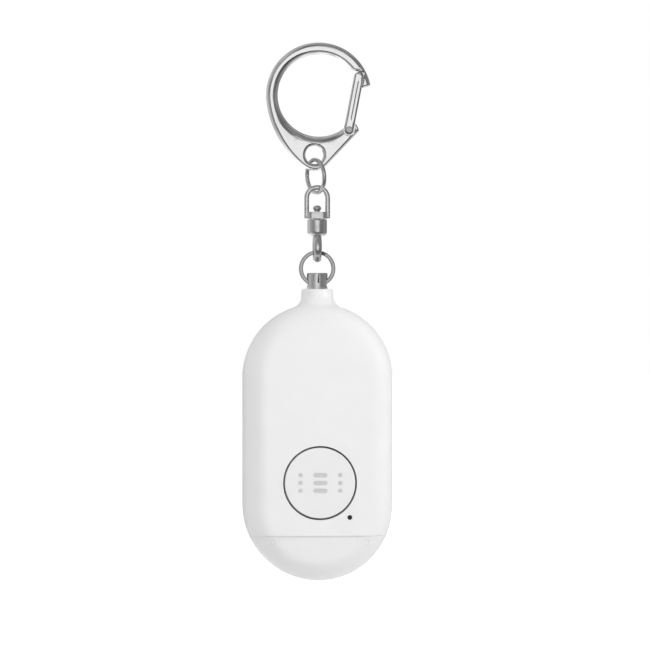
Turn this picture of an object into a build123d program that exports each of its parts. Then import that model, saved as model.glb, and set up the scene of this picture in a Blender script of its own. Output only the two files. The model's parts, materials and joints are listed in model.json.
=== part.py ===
from build123d import *
from math import acos, asin, atan2, cos, degrees, hypot, radians, sin, sqrt
import os

# A personal safety alarm on a key chain, at rest as it hangs.
# Millimetres. +Z up, +X to the right, the button faces -Y.
# The origin is the top of the hook's opening, where the alarm hangs.

# Gaps that several pieces share
overrun = 6.0
slide_gap = 0.1
seat_gap = 0.03
run_gap = 0.05
hang_gap = 0.25

# Hook
hook_opening_radius = 9.9
hook_band = 2.75
hook_thickness = 3.2
hook_inner_round = 1.3
hook_outer_round = 0.75
hook_corner_round = 0.6
hook_flank_radius = 23.5
hook_right = 0.4
eye_radius = 2.2
eye_wall = 1.6
eye_round = 0.75
eye_left = 1.1
eye_drop = 14.3
nose_angle = 10.5
lug_angle = -38.0
lug_reach = 11.6
lug_corner_reach = 12.9
lug_corner_angle = -40.6

# Gate: a folded sheet channel that swings inwards on a rivet
gate_pivot_right = 7.2
gate_pivot_drop = 8.3
gate_tilt = 10.9
gate_width = 2.2
gate_overlap = 3.8
gate_sheet = 0.45
gate_web_start = 1.35
gate_fold_round = 0.3
tongue_thickness = 1.4
gate_rivet_radius = 0.55
gate_rivet_head_radius = 0.85
gate_rivet_head = 0.25
gate_rivet_taper = 35.0
gate_wire_radius = 0.22
gate_wire_reach = 7.5
gate_wire_depth = 1.2

# Jump ring
jump_radius = 4.0
jump_wire_radius = 0.5
jump_turn = 64.0
jump_arc = 356.0
jump_lift = 0.3
jump_lean_share = 1.0

# Swivel
bail_width = 6.2
bail_bar = 1.15
bail_depth = 1.3
bail_inside_height = 5.3
bail_round = 0.5
crossbar_height = 1.6
crossbar_depth = 3.0
rivet_radius = 0.7
rivet_head_radius = 1.2
rivet_head_height = 1.5
rivet_head_round = 0.5
rivet_seat_depth = 2.2
shoulder_radius = 2.35
shoulder_height = 3.7
shoulder_round = 1.1
shoulder_gap = 0.5
loop_thickness = 1.9
loop_hole_radius = 1.65
loop_wall = 1.25
loop_neck = 1.3
loop_neck_half = 1.9
loop_tip = 0.45
loop_tip_angle = -45.0
loop_round = 0.3

# Split ring
split_radius = 3.9
split_band = 0.9
split_turn_thickness = 0.72
split_round = 0.2
split_step_angle = 67.0
split_step = 9.0

# Pull pin
pin_head_radius = 2.5
pin_head_above_axis = 2.4
pin_head_round = 0.3
pin_slot = 0.5
pin_passage_radius = 1.3
pin_floor = 0.12
pin_shank_radius = 2.0
pin_end_gap = 1.25
pin_tip = 1.0
pin_groove_width = 1.2
pin_groove_depth = 0.3
pin_groove_up = 3.4

# Case
case_width = 35.6
case_height = 66.2
case_depth = 17.0
case_wall = 1.6
case_edge_round = 5.5
neck_radius = 3.8
neck_height = 3.6
neck_blend = 3.1
neck_top_round = 0.6
lip_height = 1.2
lip_thickness = 0.7

# Bottom lens
lens_height = 10.9
lens_wall = 1.4
lens_step = 0.35
spigot_height = 1.8
spigot_wall = 0.9
rim_height = 0.7
snap_x = 11.2
snap_down = 1.5
snap_sunk = 0.08
snap_width = 0.8
snap_tall = 1.2
finger_width = 1.8
finger_thickness = 1.1
finger_root = 3.0
finger_reach = 3.2

# Button
button_rise = 0.25
button_radius = 8.4
button_gap = 0.43
button_skin = 1.4
button_skirt = 1.2
button_flange = 0.6
button_flange_reach = 0.9
button_edge_round = 0.25
button_travel = 0.4
seal_thickness = 0.5
seal_reach = 0.9
guide_wall = 0.8
retainer_thickness = 0.6
retainer_opening = 7.0

# Indicator
dot_radius = 0.55
dot_right = 7.1
dot_down = 8.2
dot_sunk = 0.2
boot_radius = 0.9
hole_ease = 0.04

# Circuit board
board_front_share = 0.153
board_thickness = 1.0
board_width = 25.0
board_top_share = 0.81
board_shoulder_gap = 0.6
board_tongue_width = 16.6
board_bottom_up = 4.6
board_corner = 1.5
board_screw_x = 10.4
board_screw_up_share = 0.582

# Board parts
switch_size = 6.0
switch_height = 2.5
switch_corner = 0.4
plunger_radius = 1.65
plunger_length = 1.4
plunger_proud = 0.65
strobe_size = 3.4
strobe_height = 1.7
strobe_dome_radius = 1.2
strobe_dome = 0.6
strobe_x = 5.2
strobe_up = 7.4
status_size = 1.6
status_height = 0.8
chip_length = 5.0
chip_width = 3.9
chip_height = 1.5
chip_leg = 0.4
chip_leg_reach = 1.0
chip_leg_pitch = 1.27
chip_legs = 4
coil_radius_share = 0.3
coil_height_share = 0.176
coil_flange = 0.5
coil_winding = 0.7

# Power
cell_radius_share = 0.1511
cell_height_share = 0.188
cell_count = 2
cell_round = 0.3
cell_cup_inset = 0.9
cell_cup_step = 0.2
battery_up_share = 0.367
holder_wall = 1.1
holder_floor = 0.5
holder_height = 4.6
contact_sheet = 0.3
contact_width = 4.0
negative_share = 0.5
pad_rib = 1.2

# Siren
siren_up_share = 0.689
siren_radius_share = 0.151
siren_wall = 1.0
siren_depth_share = 0.235
siren_front = 0.8
siren_ledge = 0.8
siren_ledge_share = 0.45
gasket_thickness = 0.5
piezo_thickness = 0.25
ceramic_share = 0.65
ceramic_thickness = 0.2
siren_rib = 0.9
siren_rib_height = 2.4
grille_hole_share = 0.075
grille_ring_share = 0.31
grille_holes = 6
lead_radius = 0.4
lead_share = 0.62

# Pin socket
socket_radius = 3.3
socket_length_share = 0.121
socket_floor = 0.8
socket_window = 1.6
leaf_sheet = 0.3
leaf_width = 2.2
leaf_foot = 3.0

# Screws
post_x_low = 11.5
post_gap = 0.3
post_x_high = 7.6
post_up_high_share = 0.867
post_radius = 2.4
screw_radius = 1.0
screw_head_radius = 1.75
screw_head = 1.3
screw_sunk = 1.2
screw_seat = 1.4
screw_bite = 5.0
drive_width = 0.45
drive_span = 1.9
drive_depth = 0.7

# What is inside follows the height or the depth of the case, here with two 20 mm coin cells
cell_radius = case_height * cell_radius_share
siren_radius = case_height * siren_radius_share
socket_length = case_height * socket_length_share
cell_height = case_depth * cell_height_share
siren_depth = case_depth * siren_depth_share
coil_height = case_depth * coil_height_share
board_front = case_depth * board_front_share
siren_ledge_depth = siren_depth * siren_ledge_share
ceramic_radius = siren_radius * ceramic_share
grille_hole_radius = siren_radius * grille_hole_share
grille_ring = siren_radius * grille_ring_share
lead_x = siren_radius * lead_share
coil_radius = siren_radius * coil_radius_share
negative_radius = cell_radius * negative_share

os.makedirs("parts", exist_ok=True)


def around(x, z, radius, angle):
    return (x + radius * cos(radians(angle)), z + radius * sin(radians(angle)))


def finish(piece, name):
    piece.part.label = name
    export_step(piece.part, "parts/" + name + ".step")


# Places down the chain, each link hanging from the one above
hook_x = hook_right
hook_z = -hook_opening_radius
hook_outer_radius = hook_opening_radius + hook_band
eye_x = hook_x - eye_left
eye_z = hook_z - eye_drop
eye_boss_radius = eye_radius + eye_wall

jump_top_x = eye_x * jump_lean_share
jump_top_z = eye_z - eye_radius + jump_wire_radius + hang_gap + jump_lift
jump_lean = degrees(asin(jump_top_x / (jump_radius + jump_radius)))
jump_bottom_z = jump_top_z - (jump_radius + jump_radius) * cos(radians(jump_lean))
jump_x = jump_top_x / 2
jump_z = (jump_top_z + jump_bottom_z) / 2

bail_top_z = jump_bottom_z + jump_wire_radius + hang_gap + bail_bar
crossbar_top_z = bail_top_z - bail_bar - bail_inside_height
crossbar_bottom_z = crossbar_top_z - crossbar_height
shoulder_top_z = crossbar_bottom_z - shoulder_gap
shoulder_bottom_z = shoulder_top_z - shoulder_height
loop_z = shoulder_bottom_z - loop_neck - loop_hole_radius
split_inner = split_radius - split_band / 2
split_outer = split_radius + split_band / 2
split_z = loop_z - loop_hole_radius + hang_gap - split_inner
pin_axis_z = split_z - split_inner
neck_top_z = pin_axis_z - pin_passage_radius - pin_floor
case_top_z = neck_top_z - neck_height
case_z = case_top_z - case_height

# Depths inside the case, positive to the rear
front_y = -case_depth / 2
rear_y = case_depth / 2
inside_front_y = front_y + case_wall
inside_rear_y = rear_y - case_wall
board_front_y = -board_front
board_rear_y = board_front_y + board_thickness
lens_z = case_z + lens_height
spigot_top_z = lens_z + spigot_height
opening_radius = button_radius + button_gap
seal_radius = opening_radius + seal_reach
guide_inner = seal_radius + seat_gap
guide_outer = guide_inner + guide_wall
button_z = spigot_top_z + button_rise + guide_outer
battery_z = case_z + case_height * battery_up_share
holder_outer = cell_radius + slide_gap + holder_wall
siren_z = case_z + case_height * siren_up_share
chip_z = (battery_z + holder_outer + siren_z - coil_radius) / 2
dot_x = dot_right
dot_z = button_z - dot_down
post_low_z = spigot_top_z + post_gap + post_radius
post_high_z = case_z + case_height * post_up_high_share
posts = [(side * post_x_low, post_low_z) for side in (-1, 1)]
posts += [(side * post_x_high, post_high_z) for side in (-1, 1)]
board_screw_z = case_z + case_height * board_screw_up_share
board_posts = [(side * board_screw_x, board_screw_z) for side in (-1, 1)]
board_top_z = case_z + case_height * board_top_share
board_shoulder_z = post_low_z + post_radius + board_shoulder_gap
board_bottom_z = case_z + board_bottom_up

# The pin's socket hangs below the top wall, and the pin ends a gap above its floor
pin_bore_radius = pin_shank_radius + slide_gap
wall_arc = case_width / 2 - case_wall
socket_top_z = case_top_z - case_wall - slide_gap - wall_arc + sqrt(wall_arc**2 - socket_radius**2)
socket_bottom_z = socket_top_z - socket_length
pin_end_z = socket_bottom_z + socket_floor + pin_end_gap

# The gate's own plane: x across the gate, y along it from its rivet, past the hook's nose
gate_x = hook_x + gate_pivot_right
gate_z = hook_z - gate_pivot_drop
nose_inner = around(hook_x, hook_z, hook_opening_radius, nose_angle)
nose_outer = around(hook_x, hook_z, hook_outer_radius, nose_angle)
gate_along = Vector(sin(radians(gate_tilt)), 0, cos(radians(gate_tilt)))
gate_length = gate_along.dot(Vector(nose_inner[0] - gate_x, 0, nose_inner[1] - gate_z)) + gate_overlap
gate_across = Vector(cos(radians(gate_tilt)), 0, -sin(radians(gate_tilt)))
gate_plane = Plane(origin=(gate_x, 0, gate_z), x_dir=gate_across, z_dir=(0, -1, 0))
gate_half = gate_width / 2
gate_inner_depth = tongue_thickness + slide_gap + slide_gap
gate_depth = gate_inner_depth + gate_sheet + gate_sheet
pocket_radius = hypot(gate_half, gate_web_start / 2) + slide_gap

# The gate's wire spring rises out of the lug inside the channel and leans on the web
wire_right = gate_half - gate_wire_radius - slide_gap
wire_left = gate_sheet - gate_half + gate_wire_radius + seat_gap
wire_start = gate_plane.from_local_coords((wire_right, gate_web_start, 0))
wire_turn = gate_plane.from_local_coords((wire_right, gate_web_start + gate_wire_depth, 0))
wire_end = gate_plane.from_local_coords((wire_left, gate_wire_reach, 0))

# The flank of the hook is an arc that touches the big round and the eye's round
eye_span = hypot(eye_left, eye_drop)
flank_near = hook_flank_radius - hook_outer_radius
flank_far = hook_flank_radius - eye_boss_radius
flank_along = (flank_near**2 - flank_far**2 + eye_span**2) / (2 * eye_span)
flank_off = sqrt(flank_near**2 - flank_along**2)
flank_x = hook_x - (flank_along * eye_left - flank_off * eye_drop) / eye_span
flank_z = hook_z - (flank_along * eye_drop + flank_off * eye_left) / eye_span
flank_start = degrees(atan2(hook_z - flank_z, hook_x - flank_x)) % 360
flank_end = degrees(atan2(eye_z - flank_z, eye_x - flank_x)) % 360
lug_corner = around(hook_x, hook_z, lug_corner_reach, lug_corner_angle)
corner_reach = hypot(lug_corner[0] - eye_x, lug_corner[1] - eye_z)
corner_angle = degrees(atan2(lug_corner[1] - eye_z, lug_corner[0] - eye_x))
boss_end = (corner_angle - degrees(acos(eye_boss_radius / corner_reach))) % 360

flank_top = around(hook_x, hook_z, hook_outer_radius, flank_start)
flank_foot = around(eye_x, eye_z, eye_boss_radius, flank_end)
boss_foot = around(eye_x, eye_z, eye_boss_radius, boss_end)
lug_outer = around(hook_x, hook_z, lug_reach, lug_angle)
lug_inner = around(hook_x, hook_z, hook_opening_radius, lug_angle)

with BuildPart() as hook_body:
    with BuildSketch(Plane.XZ) as hook_outline:
        with BuildLine():
            Line(nose_inner, nose_outer)
            top = around(hook_x, hook_z, hook_outer_radius, (nose_angle + flank_start) / 2)
            ThreePointArc(nose_outer, top, flank_top)
            side = around(flank_x, flank_z, hook_flank_radius, (flank_start + flank_end) / 2)
            ThreePointArc(flank_top, side, flank_foot)
            below = around(eye_x, eye_z, eye_boss_radius, (flank_end + boss_end) / 2)
            ThreePointArc(flank_foot, below, boss_foot)
            Line(boss_foot, lug_corner)
            Line(lug_corner, lug_outer)
            Line(lug_outer, lug_inner)
            far = around(hook_x, hook_z, hook_opening_radius, (lug_angle + 360 + nose_angle) / 2)
            ThreePointArc(lug_inner, far, nose_inner)
        make_face()
        for corner in (nose_outer, lug_corner, lug_outer):
            fillet(hook_outline.vertices().sort_by_distance((*corner, 0))[0], hook_corner_round)
    extrude(amount=hook_thickness / 2, both=True)
    rims = hook_body.faces().filter_by(Axis.Y).edges()
    arcs = rims.filter_by(GeomType.CIRCLE)
    inner_rims = arcs.filter_by(lambda e: abs(e.radius - hook_opening_radius) < seat_gap)
    fillet(rims - inner_rims, hook_outer_round)
    rims = hook_body.edges().filter_by(GeomType.CIRCLE)
    fillet(rims.filter_by(lambda e: abs(e.radius - hook_opening_radius) < seat_gap), hook_inner_round)
    # the eye that carries the chain
    with BuildSketch(Plane.XZ):
        with Locations((eye_x, eye_z)):
            Circle(eye_radius)
    extrude(amount=hook_thickness, both=True, mode=Mode.SUBTRACT)
    rims = hook_body.edges().filter_by(GeomType.CIRCLE)
    fillet(rims.filter_by(lambda e: abs(e.radius - eye_radius) < seat_gap), eye_round)
    # the lug and the nose are thinned to tongues where the gate's channel closes over them
    for side in (-1, 1):
        with BuildSketch(gate_plane.offset(side * tongue_thickness / 2)):
            Circle(pocket_radius)
            with Locations((0, hook_band)):
                Rectangle(2 * pocket_radius, 2 * hook_band)
        extrude(amount=side * hook_thickness, mode=Mode.SUBTRACT)
        with BuildSketch(gate_plane.offset(side * tongue_thickness / 2)):
            Circle(gate_length + slide_gap)
            with Locations((gate_half + slide_gap, gate_length)):
                Rectangle(hook_opening_radius, gate_length, align=(Align.MAX, Align.CENTER),
                          mode=Mode.INTERSECT)
        extrude(amount=side * hook_thickness, mode=Mode.SUBTRACT)
    # the nose's tongue stops short of the gate's web
    with BuildSketch(gate_plane):
        Circle(gate_length + slide_gap)
        with Locations((gate_sheet + slide_gap - gate_half, gate_length)):
            Rectangle(hook_opening_radius, gate_length, align=(Align.MAX, Align.CENTER), mode=Mode.INTERSECT)
    extrude(amount=hook_thickness, both=True, mode=Mode.SUBTRACT)
    # rivet hole and the hole for the gate's wire spring
    with BuildSketch(gate_plane):
        Circle(gate_rivet_radius)
    extrude(amount=hook_thickness, both=True, mode=Mode.SUBTRACT)
    with BuildSketch(Plane(origin=wire_start, z_dir=gate_along)):
        Circle(gate_wire_radius + seat_gap)
    extrude(amount=gate_wire_reach, mode=Mode.SUBTRACT)
finish(hook_body, "hook_body")

with BuildPart() as gate:
    with BuildSketch(gate_plane):
        with Locations((0, (gate_length - gate_half) / 2)):
            SlotOverall(gate_length + gate_half, gate_width, rotation=90)
    extrude(amount=gate_depth / 2, both=True)
    long_edges = gate.edges().filter_by(GeomType.LINE)
    folds = long_edges.filter_by(lambda e: gate_plane.to_local_coords(e.center()).X < 0)
    fillet(folds, gate_fold_round)
    with BuildSketch(gate_plane):
        with Locations((gate_sheet - gate_half, 0)):
            Rectangle(gate_width, 3 * gate_length, align=(Align.MIN, Align.CENTER))
        with Locations((0, gate_web_start)):
            Rectangle(gate_width + gate_width, gate_length, align=(Align.CENTER, Align.MAX))
    extrude(amount=gate_inner_depth / 2, both=True, mode=Mode.SUBTRACT)
    with BuildSketch(gate_plane):
        Circle(gate_rivet_radius + run_gap)
    extrude(amount=gate_depth, both=True, mode=Mode.SUBTRACT)
finish(gate, "gate")

with BuildPart() as gate_rivet:
    with BuildSketch(gate_plane):
        Circle(gate_rivet_radius)
    extrude(amount=gate_depth / 2 + seat_gap, both=True)
    for side in (-1, 1):
        with BuildSketch(gate_plane.offset(side * (gate_depth / 2 + seat_gap))):
            Circle(gate_rivet_head_radius)
        extrude(amount=side * gate_rivet_head, taper=gate_rivet_taper)
finish(gate_rivet, "gate_rivet")

with BuildPart() as gate_spring:
    with BuildLine() as wire_path:
        FilletPolyline(wire_start, wire_turn, wire_end, radius=gate_wire_depth)
    with BuildSketch(Plane(origin=wire_start, z_dir=wire_path.line % 0)):
        Circle(gate_wire_radius)
    sweep(path=wire_path.line)
finish(gate_spring, "gate_spring")

# Jump ring: cut wire bent into a ring, turned on the chain
lean_up = Vector(sin(radians(jump_lean)), 0, cos(radians(jump_lean)))
lean_side = Vector(cos(radians(jump_lean)), 0, -sin(radians(jump_lean)))
jump_across = lean_side * cos(radians(jump_turn)) + Vector(0, -sin(radians(jump_turn)), 0)
jump_centre = Vector(jump_x, 0, jump_z)

with BuildPart() as jump_ring:
    with BuildSketch(Plane(origin=jump_centre, x_dir=-jump_across, z_dir=lean_up)):
        with Locations((jump_radius, 0)):
            Circle(jump_wire_radius)
    revolve(axis=Axis(jump_centre, jump_across.cross(lean_up)), revolution_arc=jump_arc)
finish(jump_ring, "jump_ring")

with BuildPart() as swivel_bail:
    bail_arch = bail_width / 2
    with BuildSketch(Plane.XZ):
        with Locations((0, bail_top_z - bail_arch)):
            Circle(bail_arch)
            Rectangle(bail_width, bail_top_z - bail_arch - crossbar_bottom_z, align=(Align.CENTER, Align.MAX))
            Circle(bail_arch - bail_bar, mode=Mode.SUBTRACT)
            Rectangle(bail_width - 2 * bail_bar, bail_top_z - bail_arch - crossbar_top_z,
                      align=(Align.CENTER, Align.MAX), mode=Mode.SUBTRACT)
    extrude(amount=bail_depth / 2, both=True)
    fillet(swivel_bail.faces().filter_by(Axis.Y).edges(), bail_round)
    with BuildSketch(Plane.XY.offset(crossbar_bottom_z)):
        RectangleRounded(bail_width - bail_bar, crossbar_depth, crossbar_depth / 2 - seat_gap)
    extrude(amount=crossbar_height)
    with Locations((0, 0, crossbar_top_z)):
        Hole(rivet_radius + run_gap, depth=crossbar_height)
finish(swivel_bail, "swivel_bail")

with BuildPart() as swivel_rivet:
    with BuildSketch(Plane.XY.offset(crossbar_top_z + slide_gap)):
        Circle(rivet_head_radius)
    extrude(amount=rivet_head_height)
    fillet(swivel_rivet.faces().sort_by(Axis.Z)[-1].edges(), rivet_head_round)
    with BuildSketch(Plane.XY.offset(shoulder_top_z - rivet_seat_depth)):
        Circle(rivet_radius)
    extrude(amount=crossbar_top_z + slide_gap - shoulder_top_z + rivet_seat_depth)
finish(swivel_rivet, "swivel_rivet")

# The pointed loop below the swivel's shoulder
def pointed_loop():
    with BuildPart() as loop:
        loop_outer = loop_hole_radius + loop_wall
        with BuildSketch(Plane.YZ):
            with Locations((0, loop_z)):
                Circle(loop_outer)
                Rectangle(2 * loop_neck_half, shoulder_bottom_z + shoulder_round - loop_z,
                          align=(Align.CENTER, Align.MIN))
            with BuildLine():
                lean = around(0, loop_z, loop_outer, loop_tip_angle)
                Polyline(lean, (0, loop_z - loop_outer - loop_tip), (-lean[0], lean[1]), close=True)
            make_face()
            with Locations((0, loop_z)):
                Circle(loop_hole_radius, mode=Mode.SUBTRACT)
        extrude(amount=loop_thickness / 2, both=True)
        fillet(loop.faces().filter_by(Axis.X).edges(), loop_round)
    return loop.part


with BuildPart() as swivel_eye:
    with BuildSketch(Plane.XY.offset(shoulder_bottom_z)):
        Circle(shoulder_radius)
    extrude(amount=shoulder_height)
    fillet(swivel_eye.edges().group_by(Axis.Z)[0], shoulder_round)
    fillet(swivel_eye.edges().group_by(Axis.Z)[-1], loop_round)
    add(pointed_loop())
    with Locations((0, 0, shoulder_top_z)):
        Hole(rivet_radius + seat_gap, depth=rivet_seat_depth + seat_gap)
finish(swivel_eye, "swivel_eye")

# Split ring: two flat turns side by side, each cut where it steps over to the other
split_centre = Vector(0, 0, split_z)
with BuildPart() as split_ring:
    for side in (-1, 1):
        start = radians(split_step_angle + side * split_step)
        out = Vector(cos(start), 0, sin(start))
        with BuildSketch(Plane(origin=split_centre, x_dir=out, z_dir=out.cross(Vector(0, 1, 0)))):
            with Locations((split_radius, -side * split_turn_thickness / 2)):
                RectangleRounded(split_band, split_turn_thickness, split_round)
        revolve(axis=Axis(split_centre, (0, 1, 0)), revolution_arc=360 - split_step)
finish(split_ring, "split_ring")

# Pull pin: a slotted head that the split ring goes through, and a shank in the case
with BuildPart() as pull_pin:
    pin_top_z = pin_axis_z + pin_head_above_axis
    with BuildSketch(Plane.XY.offset(neck_top_z + pin_floor / 2)):
        Circle(pin_head_radius)
    extrude(amount=pin_top_z - neck_top_z - pin_floor / 2)
    fillet(pull_pin.faces().sort_by(Axis.Z)[-1].edges(), pin_head_round)
    with BuildSketch(Plane.XY.offset(pin_end_z)):
        Circle(pin_shank_radius)
    extrude(amount=neck_top_z + pin_floor - pin_end_z)
    chamfer(pull_pin.faces().sort_by(Axis.Z)[0].edges(), pin_tip)
    with BuildSketch(Plane.XY.offset(pin_end_z + pin_groove_up)):
        Circle(pin_shank_radius + seat_gap)
        Circle(pin_shank_radius - pin_groove_depth, mode=Mode.SUBTRACT)
    extrude(amount=pin_groove_width, mode=Mode.SUBTRACT)
    with BuildSketch(Plane.YZ):
        with Locations((0, pin_axis_z)):
            Circle(pin_passage_radius)
    extrude(amount=pin_head_radius, both=True, mode=Mode.SUBTRACT)
    with BuildSketch(Plane.XZ):
        with Locations((0, pin_axis_z)):
            Rectangle(pin_slot, pin_head_above_axis, align=(Align.CENTER, Align.MIN))
    extrude(amount=pin_head_radius, both=True, mode=Mode.SUBTRACT)
finish(pull_pin, "pull_pin")


# The case: a flat capsule with soft edges, and the same form set in by a wall
def capsule(inset, step=0):
    with BuildPart() as form:
        with BuildSketch(Plane.XZ):
            with Locations((0, case_z + case_height / 2)):
                SlotOverall(case_height - 2 * inset, case_width - 2 * inset, rotation=90)
        extrude(amount=case_depth / 2 - inset - step, both=True)
        fillet(form.faces().filter_by(Axis.Y).edges(), case_edge_round - inset - step)
    return form.part


def slot_band(outer_inset, inner_inset, height):
    with BuildPart() as band:
        with BuildSketch(Plane.XZ):
            with Locations((0, case_z + case_height / 2)):
                SlotOverall(case_height - 2 * outer_inset, case_width - 2 * outer_inset, rotation=90)
                SlotOverall(case_height - 2 * inner_inset, case_width - 2 * inner_inset, rotation=90,
                            mode=Mode.SUBTRACT)
        extrude(amount=-height)
    return band.part


def slab(low_z, high_z):
    with BuildPart() as zone:
        with BuildSketch(Plane.XY.offset(low_z)):
            Rectangle(case_width + overrun, case_depth + overrun)
        extrude(amount=high_z - low_z)
    return zone.part


def rods(places, radius, start_y, end_y):
    with BuildPart() as group:
        with BuildSketch(Plane.XZ.offset(-start_y)):
            with Locations(*places):
                Circle(radius)
        extrude(amount=start_y - end_y)
    return group.part


above_lens = slab(lens_z + seat_gap, neck_top_z + overrun)
below_lens = slab(case_z - overrun, lens_z)
cradle_z = socket_top_z - socket_window
cradle_half = socket_radius + case_wall / 2
cradle_depth = case_depth / 2 - case_wall / 2 - seat_gap

with BuildPart() as case_shell:
    add(capsule(0))
    with BuildSketch(Plane.XY.offset(case_top_z - neck_radius - neck_radius)):
        Circle(neck_radius)
    extrude(amount=neck_height + neck_radius + neck_radius)
    neck_seam = case_shell.edges().filter_by(
        lambda e: hypot(e.center().X, e.center().Y) < neck_radius + slide_gap
        and case_top_z - neck_radius < e.center().Z < case_top_z + seat_gap)
    fillet(neck_seam, neck_blend)
    fillet(case_shell.faces().sort_by(Axis.Z)[-1].edges(), neck_top_round)
    add(capsule(case_wall), mode=Mode.SUBTRACT)
    add(above_lens, mode=Mode.INTERSECT)
    with BuildSketch(Plane.XY.offset(case_top_z - case_wall - case_wall)):
        Circle(pin_bore_radius)
    extrude(amount=neck_height + case_height, mode=Mode.SUBTRACT)

# Depths of the button's stack, from the front wall inwards
seal_front_y = inside_front_y + seat_gap
flange_front_y = seal_front_y + seal_thickness + seat_gap
flange_back_y = flange_front_y + button_flange
flange_radius = button_radius + button_flange_reach
retainer_front_y = flange_back_y + button_travel + slide_gap
guide_end_y = retainer_front_y - seat_gap
switch_front_y = board_front_y - switch_height
plunger_front_y = switch_front_y - plunger_proud
boot_room = boot_radius + slide_gap

# Depths of what sits behind the board
screw_seat_y = rear_y - screw_sunk - screw_head
gasket_front_y = inside_rear_y - gasket_thickness
siren_front_y = gasket_front_y - siren_depth
piezo_y = gasket_front_y - siren_ledge_depth
holder_floor_y = board_rear_y + holder_floor
holder_top_y = board_rear_y + holder_height
first_cell_y = holder_floor_y + contact_sheet + 2 * seat_gap
contact_top_y = first_cell_y + cell_count * (cell_height + seat_gap) + contact_sheet
window_z = socket_top_z - socket_length / 2
board_pilot_y = board_front_y - screw_seat - board_thickness

# Rim and spigot of the lens, and the shells' fingers that snap into it
spigot_inset = case_wall + slide_gap
finger_notch = case_depth / 2 - board_front - board_thickness
with BuildPart() as lens_rim:
    add(capsule(lens_wall - lens_step, lens_step))
    add(capsule(spigot_inset + spigot_wall), mode=Mode.SUBTRACT)
    add(slab(lens_z - rim_height, lens_z), mode=Mode.INTERSECT)
with BuildPart() as lens_spigot:
    add(capsule(spigot_inset))
    add(capsule(spigot_inset + spigot_wall), mode=Mode.SUBTRACT)
    add(slab(lens_z - rim_height, lens_z + spigot_height), mode=Mode.INTERSECT)
lens_rim = lens_rim.part
lens_spigot = lens_spigot.part

with BuildPart() as finger_form:
    add(capsule(lens_wall + slide_gap, lens_step))
    add(capsule(lens_wall + slide_gap + finger_thickness, lens_step), mode=Mode.SUBTRACT)
    with BuildSketch(Plane.XZ.offset(-front_y)):
        with Locations((-snap_x, lens_z - finger_reach), (snap_x, lens_z - finger_reach)):
            Rectangle(finger_width, finger_reach + finger_root, align=(Align.CENTER, Align.MIN))
    extrude(amount=-finger_notch, mode=Mode.INTERSECT)
with BuildPart() as snap_form:
    add(capsule(snap_sunk, lens_step))
    add(capsule(lens_wall + slide_gap + seat_gap, lens_step), mode=Mode.SUBTRACT)
    with BuildSketch(Plane.XZ.offset(-front_y)):
        with Locations((-snap_x, lens_z - snap_down), (snap_x, lens_z - snap_down)):
            Rectangle(snap_width - 2 * seat_gap, snap_tall - 2 * seat_gap)
    extrude(amount=-finger_notch, mode=Mode.INTERSECT)
finger_tips = finger_form.part + snap_form.part
with BuildPart() as finger_room:
    add(capsule(lens_wall, lens_step))
    with BuildSketch(Plane.XZ.offset(-front_y)):
        with Locations((-snap_x, lens_z), (snap_x, lens_z)):
            Rectangle(finger_width + 2 * slide_gap, 2 * spigot_height + 2 * rim_height)
    extrude(amount=-finger_notch, mode=Mode.INTERSECT)

with BuildPart() as front_shell:
    add(case_shell.part)
    split(bisect_by=Plane.XZ, keep=Keep.TOP)
    # locating lip that goes into the rear shell
    with BuildSketch(Plane.XZ) as lip_outline:
        with Locations((0, case_z + case_height / 2)):
            SlotOverall(case_height - 2 * lip_thickness, case_width - 2 * lip_thickness, rotation=90)
            SlotOverall(case_height - 2 * case_wall, case_width - 2 * case_wall, rotation=90,
                        mode=Mode.SUBTRACT)
        with Locations((0, lens_z)):
            Rectangle(case_width, case_height, align=(Align.CENTER, Align.MAX), mode=Mode.SUBTRACT)
        with Locations((0, case_top_z)):
            Rectangle(2 * pin_bore_radius, 2 * neck_height, mode=Mode.SUBTRACT)
    extrude(amount=-lip_height)
    # button opening with the sleeve that guides the button
    add(rods([(0, button_z)], guide_outer, front_y + case_wall / 2, guide_end_y))
    add(rods([(0, button_z)], guide_inner, inside_front_y, 0), mode=Mode.SUBTRACT)
    add(rods([(0, button_z)], opening_radius, front_y - overrun, 0), mode=Mode.SUBTRACT)
    # screw posts, board posts and the cradle of the pin's socket
    add(rods(posts, post_radius, front_y + case_wall / 2, -seat_gap))
    add(rods(posts, screw_radius + seat_gap, -screw_bite - screw_radius, 0), mode=Mode.SUBTRACT)
    add(rods(board_posts, post_radius - slide_gap, front_y + case_wall / 2, board_front_y - seat_gap))
    add(rods(board_posts, screw_radius + seat_gap, board_pilot_y, 0), mode=Mode.SUBTRACT)
    with BuildSketch(Plane.XY.offset(cradle_z)):
        with Locations((0, front_y + case_wall / 2)):
            Rectangle(2 * cradle_half, cradle_depth, align=(Align.CENTER, Align.MIN))
        Circle(socket_radius + seat_gap, mode=Mode.SUBTRACT)
    extrude(amount=case_wall / 2, both=True)
    # hole for the indicator, with room for its boot beside the sleeve
    add(rods([(dot_x, dot_z)], dot_radius + hole_ease, front_y - overrun, 0), mode=Mode.SUBTRACT)
    add(rods([(dot_x, dot_z)], boot_room, inside_front_y, 0), mode=Mode.SUBTRACT)
    # snap fingers that reach into the lens
    add(finger_tips)
finish(front_shell, "front_shell")

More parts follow.
